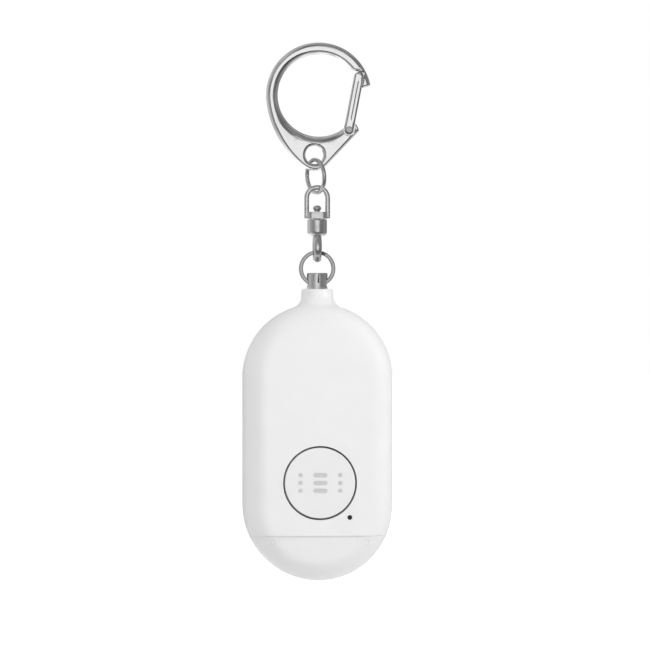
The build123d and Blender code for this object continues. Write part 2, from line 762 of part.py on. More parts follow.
with BuildPart() as rear_shell:
    add(case_shell.part)
    split(bisect_by=Plane.XZ, keep=Keep.BOTTOM)
    lip_room = slot_band(lip_thickness - slide_gap, case_width / 2 - slide_gap, lip_height + slide_gap)
    add(lip_room, mode=Mode.SUBTRACT)
    add(rods(posts, post_radius, rear_y - case_wall / 2, seat_gap))
    add(rods(posts, screw_radius + slide_gap, rear_y + overrun, 0), mode=Mode.SUBTRACT)
    add(rods(posts, screw_head_radius + slide_gap, rear_y + overrun, screw_seat_y - seat_gap),
        mode=Mode.SUBTRACT)
    # ring rib round the siren, and the grille in front of it
    with BuildSketch(Plane.XZ.offset(-inside_rear_y - case_wall / 2)):
        with Locations((0, siren_z)):
            Circle(siren_radius + slide_gap + siren_rib)
            Circle(siren_radius + slide_gap, mode=Mode.SUBTRACT)
    extrude(amount=siren_rib_height + case_wall / 2)
    with BuildSketch(Plane.XZ.offset(-inside_rear_y)):
        with Locations((0, siren_z)):
            Circle(grille_hole_radius)
            for ring in (1, 2):
                with PolarLocations(ring * grille_ring, ring * grille_holes):
                    Circle(grille_hole_radius)
    extrude(amount=-case_wall - overrun, mode=Mode.SUBTRACT)
    # rib that presses the cells on their contacts
    with BuildSketch(Plane.XZ.offset(-contact_top_y - seat_gap)):
        with Locations((0, battery_z)):
            Rectangle(cell_radius, pad_rib)
            Rectangle(pad_rib, cell_radius)
    extrude(amount=contact_top_y + seat_gap - inside_rear_y - case_wall / 2)
    with BuildSketch(Plane.XY.offset(cradle_z)):
        with Locations((0, rear_y - case_wall / 2)):
            Rectangle(2 * cradle_half, cradle_depth, align=(Align.CENTER, Align.MAX))
        Circle(socket_radius + seat_gap, mode=Mode.SUBTRACT)
    extrude(amount=case_wall / 2, both=True)
finish(rear_shell, "rear_shell")

with BuildPart() as light_lens:
    add(capsule(0, lens_step))
    add(capsule(lens_wall, lens_step), mode=Mode.SUBTRACT)
    add(below_lens, mode=Mode.INTERSECT)
    # rim and spigot that hold the lens in the two shells
    add(lens_rim)
    add(lens_spigot)
    add(finger_room.part, mode=Mode.SUBTRACT)
    with BuildSketch(Plane.XZ.offset(-front_y)):
        with Locations((-snap_x, lens_z - snap_down), (snap_x, lens_z - snap_down)):
            Rectangle(snap_width, snap_tall)
    extrude(amount=-finger_notch, mode=Mode.SUBTRACT)
finish(light_lens, "light_lens")

with BuildPart() as sos_button:
    add(rods([(0, button_z)], button_radius, front_y, flange_back_y))
    fillet(sos_button.faces().sort_by(Axis.Y)[0].edges(), button_edge_round)
    add(rods([(0, button_z)], flange_radius, flange_front_y, flange_back_y))
    add(rods([(0, button_z)], button_radius - button_skirt, front_y + button_skin, flange_back_y),
        mode=Mode.SUBTRACT)
    add(rods([(0, button_z)], plunger_radius + button_edge_round, front_y + button_skin, plunger_front_y))
finish(sos_button, "sos_button")

with BuildPart() as button_seal:
    add(rods([(0, button_z)], seal_radius, seal_front_y, seal_front_y + seal_thickness))
    add(rods([(0, button_z)], button_radius + slide_gap, seal_front_y, seal_front_y + seal_thickness),
        mode=Mode.SUBTRACT)
finish(button_seal, "button_seal")

with BuildPart() as button_retainer:
    add(rods([(0, button_z)], guide_outer, retainer_front_y, retainer_front_y + retainer_thickness))
    add(rods([(0, button_z)], retainer_opening, inside_front_y, board_front_y), mode=Mode.SUBTRACT)
    add(rods([(dot_x, dot_z)], boot_room, inside_front_y, board_front_y), mode=Mode.SUBTRACT)
finish(button_retainer, "button_retainer")

with BuildPart() as tact_switch:
    with BuildSketch(Plane.XZ.offset(-board_front_y + seat_gap)):
        with Locations((0, button_z)):
            RectangleRounded(switch_size, switch_size, switch_corner)
    extrude(amount=switch_height - seat_gap)
    plunger_room = plunger_length - plunger_proud + button_travel + slide_gap
    add(rods([(0, button_z)], plunger_radius + run_gap, switch_front_y, switch_front_y + plunger_room),
        mode=Mode.SUBTRACT)
finish(tact_switch, "tact_switch")

with BuildPart() as tact_plunger:
    add(rods([(0, button_z)], plunger_radius, plunger_front_y + seat_gap, plunger_front_y + plunger_length))
finish(tact_plunger, "tact_plunger")

with BuildPart() as circuit_board:
    with BuildSketch(Plane.XZ.offset(-board_rear_y)) as board_outline:
        with Locations((0, board_top_z)):
            Rectangle(board_width, board_top_z - board_shoulder_z, align=(Align.CENTER, Align.MAX))
        with Locations((0, board_shoulder_z)):
            Rectangle(board_tongue_width, board_shoulder_z - board_bottom_z, align=(Align.CENTER, Align.MAX))
        fillet(board_outline.vertices(), board_corner)
        with Locations(*board_posts):
            Circle(screw_radius + slide_gap, mode=Mode.SUBTRACT)
    extrude(amount=board_thickness)
finish(circuit_board, "circuit_board")

with BuildPart() as strobe_leds:
    strobe_places = [(-strobe_x, case_z + strobe_up), (strobe_x, case_z + strobe_up)]
    with BuildSketch(Plane.XZ.offset(-board_front_y + seat_gap)):
        with Locations(*strobe_places):
            RectangleRounded(strobe_size, strobe_size, switch_corner)
    extrude(amount=strobe_height)
    dome_y = board_front_y - strobe_height
    add(rods(strobe_places, strobe_dome_radius, dome_y, dome_y - strobe_dome))
    fillet(strobe_leds.faces().filter_by(Axis.Y).group_by(Axis.Y)[0].edges(), strobe_dome / 2)
finish(strobe_leds, "strobe_leds")

with BuildPart() as status_led:
    with BuildSketch(Plane.XZ.offset(-board_front_y + seat_gap)):
        with Locations((dot_x, dot_z)):
            Rectangle(status_size, status_height)
    extrude(amount=status_height)
finish(status_led, "status_led")

with BuildPart() as indicator_boot:
    boot_back_y = board_front_y - status_height - seat_gap - seat_gap
    add(rods([(dot_x, dot_z)], boot_radius, inside_front_y + seat_gap, boot_back_y))
    add(rods([(dot_x, dot_z)], dot_radius, front_y + dot_sunk, inside_front_y + seat_gap))
finish(indicator_boot, "indicator_boot")

with BuildPart() as control_chip:
    with BuildSketch(Plane.XZ.offset(-board_rear_y - chip_leg)):
        with Locations((0, chip_z)):
            Rectangle(chip_width, chip_length)
    extrude(amount=chip_leg - chip_height)
    with BuildSketch(Plane.XZ.offset(-board_rear_y - seat_gap)):
        with Locations((0, chip_z)):
            with GridLocations(0, chip_leg_pitch, 1, chip_legs):
                Rectangle(chip_width + 2 * chip_leg_reach, chip_leg)
    extrude(amount=-chip_leg)
finish(control_chip, "control_chip")

with BuildPart() as boost_coil:
    coil_y = board_rear_y + seat_gap
    add(rods([(0, siren_z)], coil_radius - coil_winding, coil_y, coil_y + coil_height))
    add(rods([(0, siren_z)], coil_radius, coil_y, coil_y + coil_flange))
    add(rods([(0, siren_z)], coil_radius, coil_y + coil_height - coil_flange, coil_y + coil_height))
finish(boost_coil, "boost_coil")

with BuildPart() as battery_holder:
    add(rods([(0, battery_z)], holder_outer, board_rear_y + seat_gap, holder_top_y))
    add(rods([(0, battery_z)], cell_radius + slide_gap, holder_floor_y, holder_top_y), mode=Mode.SUBTRACT)
finish(battery_holder, "battery_holder")

with BuildPart() as negative_contact:
    with BuildSketch(Plane.XZ.offset(-holder_floor_y - seat_gap)):
        with Locations((0, battery_z)):
            Circle(negative_radius / 2)
            Rectangle(2 * negative_radius, contact_width / 2)
            Rectangle(contact_width / 2, 2 * negative_radius)
    extrude(amount=-contact_sheet)
finish(negative_contact, "negative_contact")

with BuildPart() as coin_cells:
    for number in range(cell_count):
        low_y = first_cell_y + number * (cell_height + seat_gap)
        add(rods([(0, battery_z)], cell_radius - cell_cup_inset, low_y, low_y + cell_height))
        add(rods([(0, battery_z)], cell_radius, low_y + cell_cup_step, low_y + cell_height))
    rims = coin_cells.edges().filter_by(GeomType.CIRCLE)
    fillet(rims.filter_by(lambda e: abs(e.radius - cell_radius) < seat_gap), cell_round)
finish(coin_cells, "coin_cells")

with BuildPart() as positive_contact:
    strap_half = holder_outer + slide_gap
    with BuildSketch(Plane.XY.offset(battery_z)):
        with Locations((0, contact_top_y)):
            Rectangle(2 * strap_half + 2 * contact_sheet, contact_top_y - board_rear_y - seat_gap,
                      align=(Align.CENTER, Align.MAX))
        with Locations((0, contact_top_y - contact_sheet)):
            Rectangle(2 * strap_half, case_depth, align=(Align.CENTER, Align.MAX), mode=Mode.SUBTRACT)
    extrude(amount=contact_width / 2, both=True)
finish(positive_contact, "positive_contact")

with BuildPart() as siren_cup:
    add(rods([(0, siren_z)], siren_radius, siren_front_y, gasket_front_y - seat_gap))
    ledge_radius = siren_radius - siren_wall - siren_ledge
    add(rods([(0, siren_z)], siren_radius - siren_wall, piezo_y - seat_gap, gasket_front_y), mode=Mode.SUBTRACT)
    add(rods([(0, siren_z)], ledge_radius, siren_front_y + siren_front, gasket_front_y), mode=Mode.SUBTRACT)
    add(rods([(0, siren_z), (-lead_x, siren_z), (lead_x, siren_z)], lead_radius + slide_gap,
             siren_front_y - overrun, gasket_front_y), mode=Mode.SUBTRACT)
finish(siren_cup, "siren_cup")

with BuildPart() as piezo_disc:
    add(rods([(0, siren_z)], siren_radius - siren_wall - slide_gap, piezo_y, piezo_y + piezo_thickness))
    add(rods([(0, siren_z)], ceramic_radius, piezo_y - ceramic_thickness, piezo_y))
finish(piezo_disc, "piezo_disc")

with BuildPart() as siren_gasket:
    add(rods([(0, siren_z)], siren_radius, gasket_front_y, inside_rear_y - seat_gap))
    add(rods([(0, siren_z)], siren_radius - siren_wall, gasket_front_y, inside_rear_y), mode=Mode.SUBTRACT)
finish(siren_gasket, "siren_gasket")

with BuildPart() as siren_leads:
    lead_end_y = piezo_y - ceramic_thickness - seat_gap
    add(rods([(-lead_x, siren_z), (lead_x, siren_z)], lead_radius, board_rear_y + seat_gap, lead_end_y))
finish(siren_leads, "siren_leads")

# Socket in the neck that the pin goes into, with a leaf contact on each side
with BuildPart() as pin_socket:
    with BuildSketch(Plane.XY.offset(socket_top_z)):
        Circle(socket_radius)
    extrude(amount=-socket_length)
    with Locations((0, 0, socket_top_z)):
        Hole(pin_bore_radius, depth=socket_length - socket_floor)
    with BuildSketch(Plane.YZ):
        with Locations((0, window_z)):
            Rectangle(socket_window, socket_window + socket_window)
    extrude(amount=socket_radius, both=True, mode=Mode.SUBTRACT)
finish(pin_socket, "pin_socket")

with BuildPart() as pin_contacts:
    leaf_x = socket_radius + slide_gap
    leaf_low_z = board_top_z - leaf_foot
    leaf_top_z = cradle_z - case_wall / 2 - seat_gap
    with BuildSketch(Plane.XZ.offset(-board_rear_y - seat_gap)):
        for side in (-1, 1):
            with Locations((side * (leaf_x + leaf_sheet / 2), leaf_low_z)):
                Rectangle(leaf_sheet, leaf_top_z - leaf_low_z, align=(Align.CENTER, Align.MIN))
    extrude(amount=-leaf_width)
    with BuildSketch(Plane.XZ):
        for side in (-1, 1):
            with BuildLine():
                bump = side * leaf_x
                nose = side * (pin_bore_radius + slide_gap)
                Polyline((bump, window_z - leaf_sheet - leaf_sheet), (nose, window_z),
                         (bump, window_z + leaf_sheet + leaf_sheet), close=True)
            make_face()
    extrude(amount=leaf_sheet, both=True)
finish(pin_contacts, "pin_contacts")

# Screws, each with a cross drive
def screws(places, seat_y, end_y):
    with BuildPart() as group:
        add(rods(places, screw_head_radius, seat_y + screw_head, seat_y))
        add(rods(places, screw_radius, seat_y, end_y))
        with BuildSketch(Plane.XZ.offset(-seat_y - screw_head)):
            with Locations(*places):
                Rectangle(drive_span, drive_width)
                Rectangle(drive_width, drive_span)
        extrude(amount=drive_depth, mode=Mode.SUBTRACT)
    return group.part


with BuildPart() as case_screws:
    add(screws(posts, screw_seat_y, -screw_bite))
finish(case_screws, "case_screws")

with BuildPart() as board_screws:
    add(screws(board_posts, board_rear_y + seat_gap, board_front_y - screw_seat))
finish(board_screws, "board_screws")
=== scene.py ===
import json
import math

import bmesh
import bpy
import numpy as np
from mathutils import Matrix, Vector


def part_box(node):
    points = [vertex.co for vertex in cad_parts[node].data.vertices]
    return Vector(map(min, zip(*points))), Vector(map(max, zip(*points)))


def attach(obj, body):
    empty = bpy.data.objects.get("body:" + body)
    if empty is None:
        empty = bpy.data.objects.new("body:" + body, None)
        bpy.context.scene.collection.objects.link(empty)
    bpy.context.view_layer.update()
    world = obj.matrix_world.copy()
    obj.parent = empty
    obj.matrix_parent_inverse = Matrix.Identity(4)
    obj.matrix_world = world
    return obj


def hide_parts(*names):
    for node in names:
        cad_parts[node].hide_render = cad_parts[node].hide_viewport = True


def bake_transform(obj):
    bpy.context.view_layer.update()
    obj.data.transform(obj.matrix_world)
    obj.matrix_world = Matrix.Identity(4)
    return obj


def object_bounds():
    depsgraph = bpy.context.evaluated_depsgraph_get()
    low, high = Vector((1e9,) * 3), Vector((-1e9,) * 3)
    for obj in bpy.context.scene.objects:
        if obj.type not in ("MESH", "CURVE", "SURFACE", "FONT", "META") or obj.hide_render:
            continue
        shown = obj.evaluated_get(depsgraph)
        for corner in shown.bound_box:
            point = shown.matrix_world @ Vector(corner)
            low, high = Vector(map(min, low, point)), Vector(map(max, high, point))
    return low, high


# Personal safety alarm on its clip hook. Everything is in metres, +Z up, the button faces -Y
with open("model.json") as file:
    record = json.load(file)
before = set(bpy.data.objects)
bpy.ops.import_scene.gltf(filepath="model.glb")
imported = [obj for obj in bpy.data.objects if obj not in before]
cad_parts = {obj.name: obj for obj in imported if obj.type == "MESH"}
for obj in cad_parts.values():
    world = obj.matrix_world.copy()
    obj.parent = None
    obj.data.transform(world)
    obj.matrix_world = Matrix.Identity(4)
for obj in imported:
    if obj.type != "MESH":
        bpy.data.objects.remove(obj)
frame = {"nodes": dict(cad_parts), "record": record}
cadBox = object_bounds()
nodes = frame["nodes"]
mm = 0.001
xAxis, yAxis, zAxis = np.eye(3)
print("frame loaded:", len(nodes), "nodes")


def corners(name):  # lowest and highest corner of a node, as arrays
    low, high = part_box(name)
    return np.array(low), np.array(high)


def addObject(name, data):  # a new object in the scene
    made = bpy.data.objects.new(name, data)
    bpy.context.collection.objects.link(made)
    return made


camera = {
    "distance": 1.0,           # from the alarm's middle
    "azimuth": -5.0,           # degrees, the lens looks a little at the left side
    "frameWidth": 0.156,       # what the picture is wide at the alarm
    "aim": (0.0019, -0.0650),  # x and z that the lens points at
    "sensor": 36.0, "clip": (0.01, 20),
}


def placeCamera(spec):
    # level with its aim, turned about Z; the lens is as long as the frame's width asks for at that distance
    data = bpy.data.cameras.new("camera")
    data.sensor_width = spec["sensor"]
    data.lens = spec["sensor"] * spec["distance"] / spec["frameWidth"]
    data.clip_start, data.clip_end = spec["clip"]
    made = addObject("camera", data)
    turn = math.radians(spec["azimuth"])
    x, z = spec["aim"]
    made.location = (x + math.sin(turn) * spec["distance"], -math.cos(turn) * spec["distance"], z)
    made.rotation_euler = (math.pi / 2, 0, turn)
    bpy.context.scene.camera = made


placeCamera(camera)


def feed(tree, value, socket):  # an output is linked to the socket, anything else is the socket's own value
    if isinstance(value, bpy.types.NodeSocket):
        tree.links.new(value, socket)
    else:
        socket.default_value = value


def node(tree, kind, settings=None, **sockets):  # a shader node with its settings, fed by the sockets' names
    made = tree.nodes.new(kind)
    for key, value in (settings or {}).items():
        setattr(made, key, value)
    for key, value in sockets.items():
        feed(tree, value, made.inputs[key.replace("_", " ")])
    return made


def outputOf(tree, kind, *values, **settings):  # the first output of a node that is fed in its sockets' order
    made = node(tree, kind, settings)
    for socket, value in zip(made.inputs, values):
        feed(tree, value, socket)
    return made.outputs[0]


def maths(tree, operation, first, second):  # a sum, product or the like of two values
    return outputOf(tree, "ShaderNodeMath", first, second, operation=operation)


def noise(tree, place, **sockets):  # a noise from 0 to 1 at a place
    return node(tree, "ShaderNodeTexNoise", Vector=place, **sockets).outputs["Fac"]


def ranged(tree, value, target, source=(0, 1), smooth=False):  # spreads a value from one range over another
    settings = {"interpolation_type": "SMOOTHSTEP"} if smooth else None
    spread = node(tree, "ShaderNodeMapRange", settings, Value=value, From_Min=source[0], From_Max=source[1],
                  To_Min=target[0], To_Max=target[1])
    return spread.outputs["Result"]


def mixColours(tree, factor, first, second):  # a mix between two plain colours
    mix = node(tree, "ShaderNodeMix", {"data_type": "RGBA"}, Factor=factor, A=(*first, 1), B=(*second, 1))
    return mix.outputs["Result"]


def newGroup(name, inputs, outputs):  # an empty node group with number sockets, the inputs with their values
    group = bpy.data.node_groups.new(name, "ShaderNodeTree")
    for label, value in inputs.items():
        group.interface.new_socket(label, in_out="INPUT", socket_type="NodeSocketFloat").default_value = value
    for label in outputs:
        group.interface.new_socket(label, in_out="OUTPUT", socket_type="NodeSocketFloat")
    return group, group.nodes.new("NodeGroupInput"), group.nodes.new("NodeGroupOutput")


def grainGroup():
    # moulded texture: a fine noise gives the bump's height, a slow one a mottle for roughness and colour
    group, given, result = newGroup("mouldedGrain", {"Scale": 9000.0, "Mottle Scale": 160.0},
                                    ["Height", "Mottle"])
    place = node(group, "ShaderNodeTexCoord").outputs["Object"]
    fine = noise(group, place, Scale=given.outputs["Scale"], Detail=2.0, Roughness=0.55)
    slow = noise(group, place, Scale=given.outputs["Mottle Scale"], Detail=4.0, Roughness=0.6)
    feed(group, fine, result.inputs["Height"])
    feed(group, slow, result.inputs["Mottle"])
    return group


hairlines = {
    "turns": (0.5, 1.9),     # the two ways that the hairlines run, in radians
    "squeeze": 0.03,         # how far the noise is drawn out along them
    "line": (0.62, 0.72),    # the levels of the noise that make a line
    "patchScale": 150.0, "patch": (0.45, 0.6),  # a slower noise and its levels that show the lines
}


def scratchGroup(spec):
    # hairline scratches: the larger of two drawn-out noises, each cut down to lines, times the patches
    # of a slower noise, times the amount
    group, given, result = newGroup("hairScratches", {"Scale": 400.0, "Amount": 0.5}, ["Mask"])
    place = node(group, "ShaderNodeTexCoord").outputs["Object"]
    lines = []
    for turn in spec["turns"]:
        drawn = node(group, "ShaderNodeMapping", Vector=place, Rotation=(0.3, turn, turn / 2),
                     Scale=(1.0, 1.0, spec["squeeze"])).outputs["Vector"]
        level = noise(group, drawn, Scale=given.outputs["Scale"], Detail=2.0, Roughness=0.5)
        lines.append(ranged(group, level, (0, 1), spec["line"]))
    patches = ranged(group, noise(group, place, Scale=spec["patchScale"], Detail=1.0), (0, 1), spec["patch"])
    shown = maths(group, "MULTIPLY", maths(group, "MAXIMUM", *lines), patches)
    feed(group, maths(group, "MULTIPLY", shown, given.outputs["Amount"]), result.inputs["Mask"])
    return group


grain = grainGroup()
scratches = scratchGroup(hairlines)


def startMaterial(name, colour, roughness, **constants):  # a material whose sockets have plain values
    material = bpy.data.materials.new(name)
    material.use_nodes = True
    tree = material.node_tree
    shader = tree.nodes["Principled BSDF"]
    for key, value in {"Base_Color": (*colour, 1), "Roughness": roughness, **constants}.items():
        shader.inputs[key.replace("_", " ")].default_value = value
    return material, tree, shader


def feedShader(tree, shader, colour, roughness, height, depth):  # feeds the shader, with a bump of this depth
    bump = node(tree, "ShaderNodeBump", Strength=1.0, Distance=depth, Height=height)
    feed(tree, colour, shader.inputs["Base Color"])
    feed(tree, roughness, shader.inputs["Roughness"])
    feed(tree, bump.outputs["Normal"], shader.inputs["Normal"])


plasticWear = {
    "mottle": 0.05,          # how far the roughness goes up and down
    "hairScale": 500.0, "hairAmount": 0.12,
    "shine": 0.12,           # how much less rough a hairline is
}
metalWear = {
    "smears": 1.7,           # scale of the smears against that of the waves
    "rough": (0.6, 1.4),     # the least and the most roughness against the finish's own
    "hairScale": 700.0,
    "dulling": 0.25,         # how much rougher a hairline is
}
grainSpread = 0.06           # how far the roughness of an inner piece goes up and down


def mouldedPlastic(name, light, dark, roughness, grainScale, grainDepth):
    # moulded plastic: mottled colour, fine grain in the bump, and hairlines that shine a little more
    material, tree, shader = startMaterial(name, light, roughness)
    texture = node(tree, "ShaderNodeGroup", {"node_tree": grain}, Scale=grainScale)
    marks = node(tree, "ShaderNodeGroup", {"node_tree": scratches}, Scale=plasticWear["hairScale"],
                 Amount=plasticWear["hairAmount"])
    mottle, spread = texture.outputs["Mottle"], plasticWear["mottle"]
    rough = maths(tree, "SUBTRACT", ranged(tree, mottle, (roughness - spread, roughness + spread)),
                  maths(tree, "MULTIPLY", marks.outputs["Mask"], plasticWear["shine"]))
    colour = mixColours(tree, mottle, light, dark)
    feedShader(tree, shader, colour, rough, texture.outputs["Height"], grainDepth)
    return material


def platedMetal(name, bright, dull, roughness, waveScale, waveDepth, scratchAmount):
    # plated metal: slow waves in the surface bend the reflections, hairlines dull them
    material, tree, shader = startMaterial(name, bright, roughness, Metallic=1.0)
    place = node(tree, "ShaderNodeTexCoord").outputs["Object"]
    waves = noise(tree, place, Scale=waveScale, Detail=1.5, Roughness=0.45)
    smears = noise(tree, place, Scale=waveScale * metalWear["smears"], Detail=5.0, Roughness=0.6)
    marks = node(tree, "ShaderNodeGroup", {"node_tree": scratches}, Scale=metalWear["hairScale"],
                 Amount=scratchAmount)
    least, most = metalWear["rough"]
    rough = maths(tree, "ADD", ranged(tree, smears, (roughness * least, roughness * most)),
                  maths(tree, "MULTIPLY", marks.outputs["Mask"], metalWear["dulling"]))
    feedShader(tree, shader, mixColours(tree, smears, bright, dull), rough, waves, waveDepth)
    return material


def plainGrained(name, base, other, roughness, scale, depth, metallic=0.0):
    # one noise for colour, roughness and bump, for the pieces inside
    material, tree, shader = startMaterial(name, base, roughness, Metallic=metallic)
    texture = noise(tree, node(tree, "ShaderNodeTexCoord").outputs["Object"], Scale=scale, Detail=4.0,
                    Roughness=0.6)
    rough = ranged(tree, texture, (roughness - grainSpread, roughness + grainSpread))
    feedShader(tree, shader, mixColours(tree, texture, base, other), rough, texture, depth)
    return material


def shadePressed(material, pressedShade):  # painted shade: a light grey colour where the mark is pressed in, standing in for the shade in its hollow
    tree = material.node_tree
    target = tree.nodes["Principled BSDF"].inputs["Base Color"]
    plain = target.links[0].from_socket
    depth = node(tree, "ShaderNodeAttribute", {"attribute_name": "pressed"})
    painted = node(tree, "ShaderNodeMix", {"data_type": "RGBA"}, Factor=depth.outputs["Fac"], A=plain,
                   B=(*pressedShade, 1))
    feed(tree, painted.outputs["Result"], target)


plastics = {  # light and dark colour, roughness, grains per metre, depth of the grain
    "white_shell": ((0.90, 0.90, 0.90), (0.86, 0.86, 0.86), 0.34, 7000, 0.000006),
    "white_lens": ((0.87, 0.87, 0.87), (0.83, 0.83, 0.83), 0.30, 5000, 0.000004),
    "white_button": ((0.88, 0.88, 0.88), (0.85, 0.85, 0.85), 0.36, 7000, 0.000006),
}
metals = {  # bright and dull colour, roughness, waves per metre, depth of the waves, amount of hairlines
    "polished_zinc": ((0.88, 0.88, 0.88), (0.76, 0.76, 0.76), 0.12, 200, 0.00014, 0.4),
    "plated_steel": ((0.86, 0.86, 0.86), (0.66, 0.66, 0.66), 0.33, 520, 0.00012, 0.7),
    "turned_steel": ((0.92, 0.92, 0.92), (0.74, 0.74, 0.74), 0.38, 420, 0.00006, 0.6),
    "spring_steel": ((0.48, 0.48, 0.48), (0.38, 0.38, 0.39), 0.26, 800, 0.00004, 0.5),
    "cell_steel": ((0.66, 0.66, 0.66), (0.54, 0.54, 0.54), 0.30, 300, 0.00003, 0.6),
    "brass_disc": ((0.72, 0.56, 0.28), (0.56, 0.42, 0.20), 0.32, 300, 0.00003, 0.4),
    "copper_lead": ((0.70, 0.38, 0.22), (0.50, 0.26, 0.16), 0.35, 500, 0.00003, 0.3),
}
innerFinishes = {  # two colours, roughness, grains per metre, depth of the grain, and 1 for a metal
    # grey silicone: the button's real seal, coloured dark grey so that the gap round the button shows dark,
    # partly painted shade
    "grey_silicone": ((0.19, 0.19, 0.19), (0.14, 0.14, 0.14), 0.62, 900, 0.00001),
    "black_rubber": ((0.012, 0.012, 0.013), (0.022, 0.022, 0.023), 0.45, 1500, 0.00001),
    "black_plastic": ((0.02, 0.02, 0.022), (0.035, 0.035, 0.036), 0.5, 1800, 0.00001),
    "green_board": ((0.01, 0.09, 0.035), (0.02, 0.14, 0.06), 0.3, 260, 0.00001),
    "led_phosphor": ((0.80, 0.66, 0.16), (0.86, 0.76, 0.30), 0.5, 1500, 0.00001),
    "ferrite": ((0.03, 0.028, 0.027), (0.06, 0.055, 0.05), 0.6, 2500, 0.00002),
    "black_screw": ((0.03, 0.03, 0.032), (0.06, 0.06, 0.062), 0.35, 1800, 0.000006, 1.0),
}
tables = ((mouldedPlastic, plastics), (platedMetal, metals), (plainGrained, innerFinishes))
finishes = {name: maker(name, *values) for maker, table in tables for name, values in table.items()}
print("materials made:", len(finishes))


slotOf = {part["node"]: part["material_slot"] for part in frame["record"]["subparts"]}
bodyOf = {member: body for body, members in frame["record"]["behaviour"]["bodies"].items()
          for member in members}
for name, solid in nodes.items():  # every solid gets its finish, one that a piece replaces is hidden later
    solid.data.materials.clear()
    solid.data.materials.append(finishes[slotOf[name]])


def newPiece(name, mesh, solid, slotName=None, ride=True):  # a piece that stands for a solid, on its body
    slotName = slotName or slotOf[solid]
    piece = addObject(name, mesh)
    mesh.materials.clear()
    mesh.materials.append(finishes[slotName])
    if ride:
        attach(piece, bodyOf[solid])
    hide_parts(solid)
    return piece


shading = {
    "solidMerge": 0.0000015, "gridMerge": 0.0000005,  # points nearer than this are merged
    "solidTurn": 28.0, "gridTurn": 35.0,              # degrees that faces turn at an edge that stays sharp
    "flatWeight": 90,
}


def flatLeads(piece):  # flat faces keep their flat shading next to rounded ones
    weighted = piece.modifiers.new("flat faces lead", "WEIGHTED_NORMAL")
    weighted.keep_sharp = True
    weighted.weight = shading["flatWeight"]
    return piece


def formOf(*meshes):  # a bmesh of one mesh or of several
    form = bmesh.new()
    for mesh in meshes:
        form.from_mesh(mesh)
    return form


def shaded(form, mesh, turn):  # puts a form into a mesh, sharp where its faces turn by this many degrees
    for edge in form.edges:
        edge.smooth = edge.calc_face_angle(math.pi) < math.radians(turn)
    form.to_mesh(mesh)
    form.free()
    mesh.polygons.foreach_set("use_smooth", np.ones(len(mesh.polygons), dtype=bool))
    return mesh


def smoothed(name, change=None, slotName=None):  # a copy of a solid with its loose triangles joined
    form = formOf(nodes[name].data)
    bmesh.ops.remove_doubles(form, verts=form.verts, dist=shading["solidMerge"])
    form.normal_update()
    if change:
        change(form)
    mesh = shaded(form, bpy.data.meshes.new(name + "_smooth"), shading["solidTurn"])
    return flatLeads(newPiece(name + "_smooth", mesh, name, slotName))


# the line where the two shells meet: its chamfer, how near the middle plane the rim lies, and how far a
# wall's normal may lean
shutLine = {"chamfer": 0.10 * mm, "plane": 0.002 * mm, "lean": 0.5}
shellLow, shellHigh = corners("rear_shell")
halfWidth = (shellHigh[0] - shellLow[0]) / 2
shellAxis = (corners("light_lens")[0][2] + halfWidth, shellHigh[2])  # outward is away from this line on Z


def openShutLine(form):
    # the outer rim where the two shells meet gets a small chamfer, so that a fine groove shows
    rim = []
    for edge in form.edges:
        if len(edge.link_faces) != 2 or max(abs(v.co.y) for v in edge.verts) > shutLine["plane"]:
            continue
        walls = [face for face in edge.link_faces if abs(face.normal.y) < shutLine["lean"]]
        if edge.is_convex and len(walls) == 1:
            middle = (edge.verts[0].co + edge.verts[1].co) / 2
            outward = (middle.x, middle.z - min(max(middle.z, shellAxis[0]), shellAxis[1]))
            if walls[0].normal.x * outward[0] + walls[0].normal.z * outward[1] > 0:
                rim.append(edge)
    bmesh.ops.bevel(form, geom=rim, offset=shutLine["chamfer"], segments=1, affect="EDGES",
                    clamp_overlap=False)


for name in ("pull_pin", "light_lens", "indicator_boot", "case_screws"):
    smoothed(name)
smoothed("swivel_bail", slotName="plated_steel")
smoothed("gate_rivet", slotName="spring_steel")
for name in ("front_shell", "rear_shell"):
    smoothed(name, openShutLine)
print("solids smoothed")


def gridFaces(rows, columns, closedRows, closedColumns, start=0):
    # quads between neighbouring rows and columns of a grid, wrapping round where it is closed
    r = np.arange(rows if closedRows else rows - 1)[:, None]
    c = np.arange(columns if closedColumns else columns - 1)[None, :]
    r2, c2 = (r + 1) % rows, (c + 1) % columns
    quads = np.stack([r * columns + c, r * columns + c2, r2 * columns + c2, r2 * columns + c], axis=-1)
    return quads.reshape(-1, 4) + start


def closedUp(mesh, turn):  # merges the points that meet, turns the faces outwards and shades the mesh
    form = formOf(mesh)
    bmesh.ops.remove_doubles(form, verts=form.verts, dist=shading["gridMerge"])
    bmesh.ops.recalc_face_normals(form, faces=form.faces)
    return shaded(form, mesh, turn)


def meshFrom(name, points, *faces, turn=180.0):  # a closed mesh from an array of points and arrays of faces
    mesh = bpy.data.meshes.new(name)
    mesh.from_pydata(points.reshape(-1, 3).tolist(), [], [face for block in faces for face in block.tolist()])
    return closedUp(mesh, turn)


def unit(ways):  # every row scaled to a length of 1
    return ways / np.linalg.norm(ways, axis=1)[:, None]


def eased(share):  # a soft step from 0 to 1: three times the square less twice the cube
    share = np.clip(share, 0, 1)
    return share * share * (3 - 2 * share)


capShape = ((0.92, 0.35), (0.72, 0.75), (0.35, 0.97), (0.0, 1.0))  # width left, share of the cap's depth


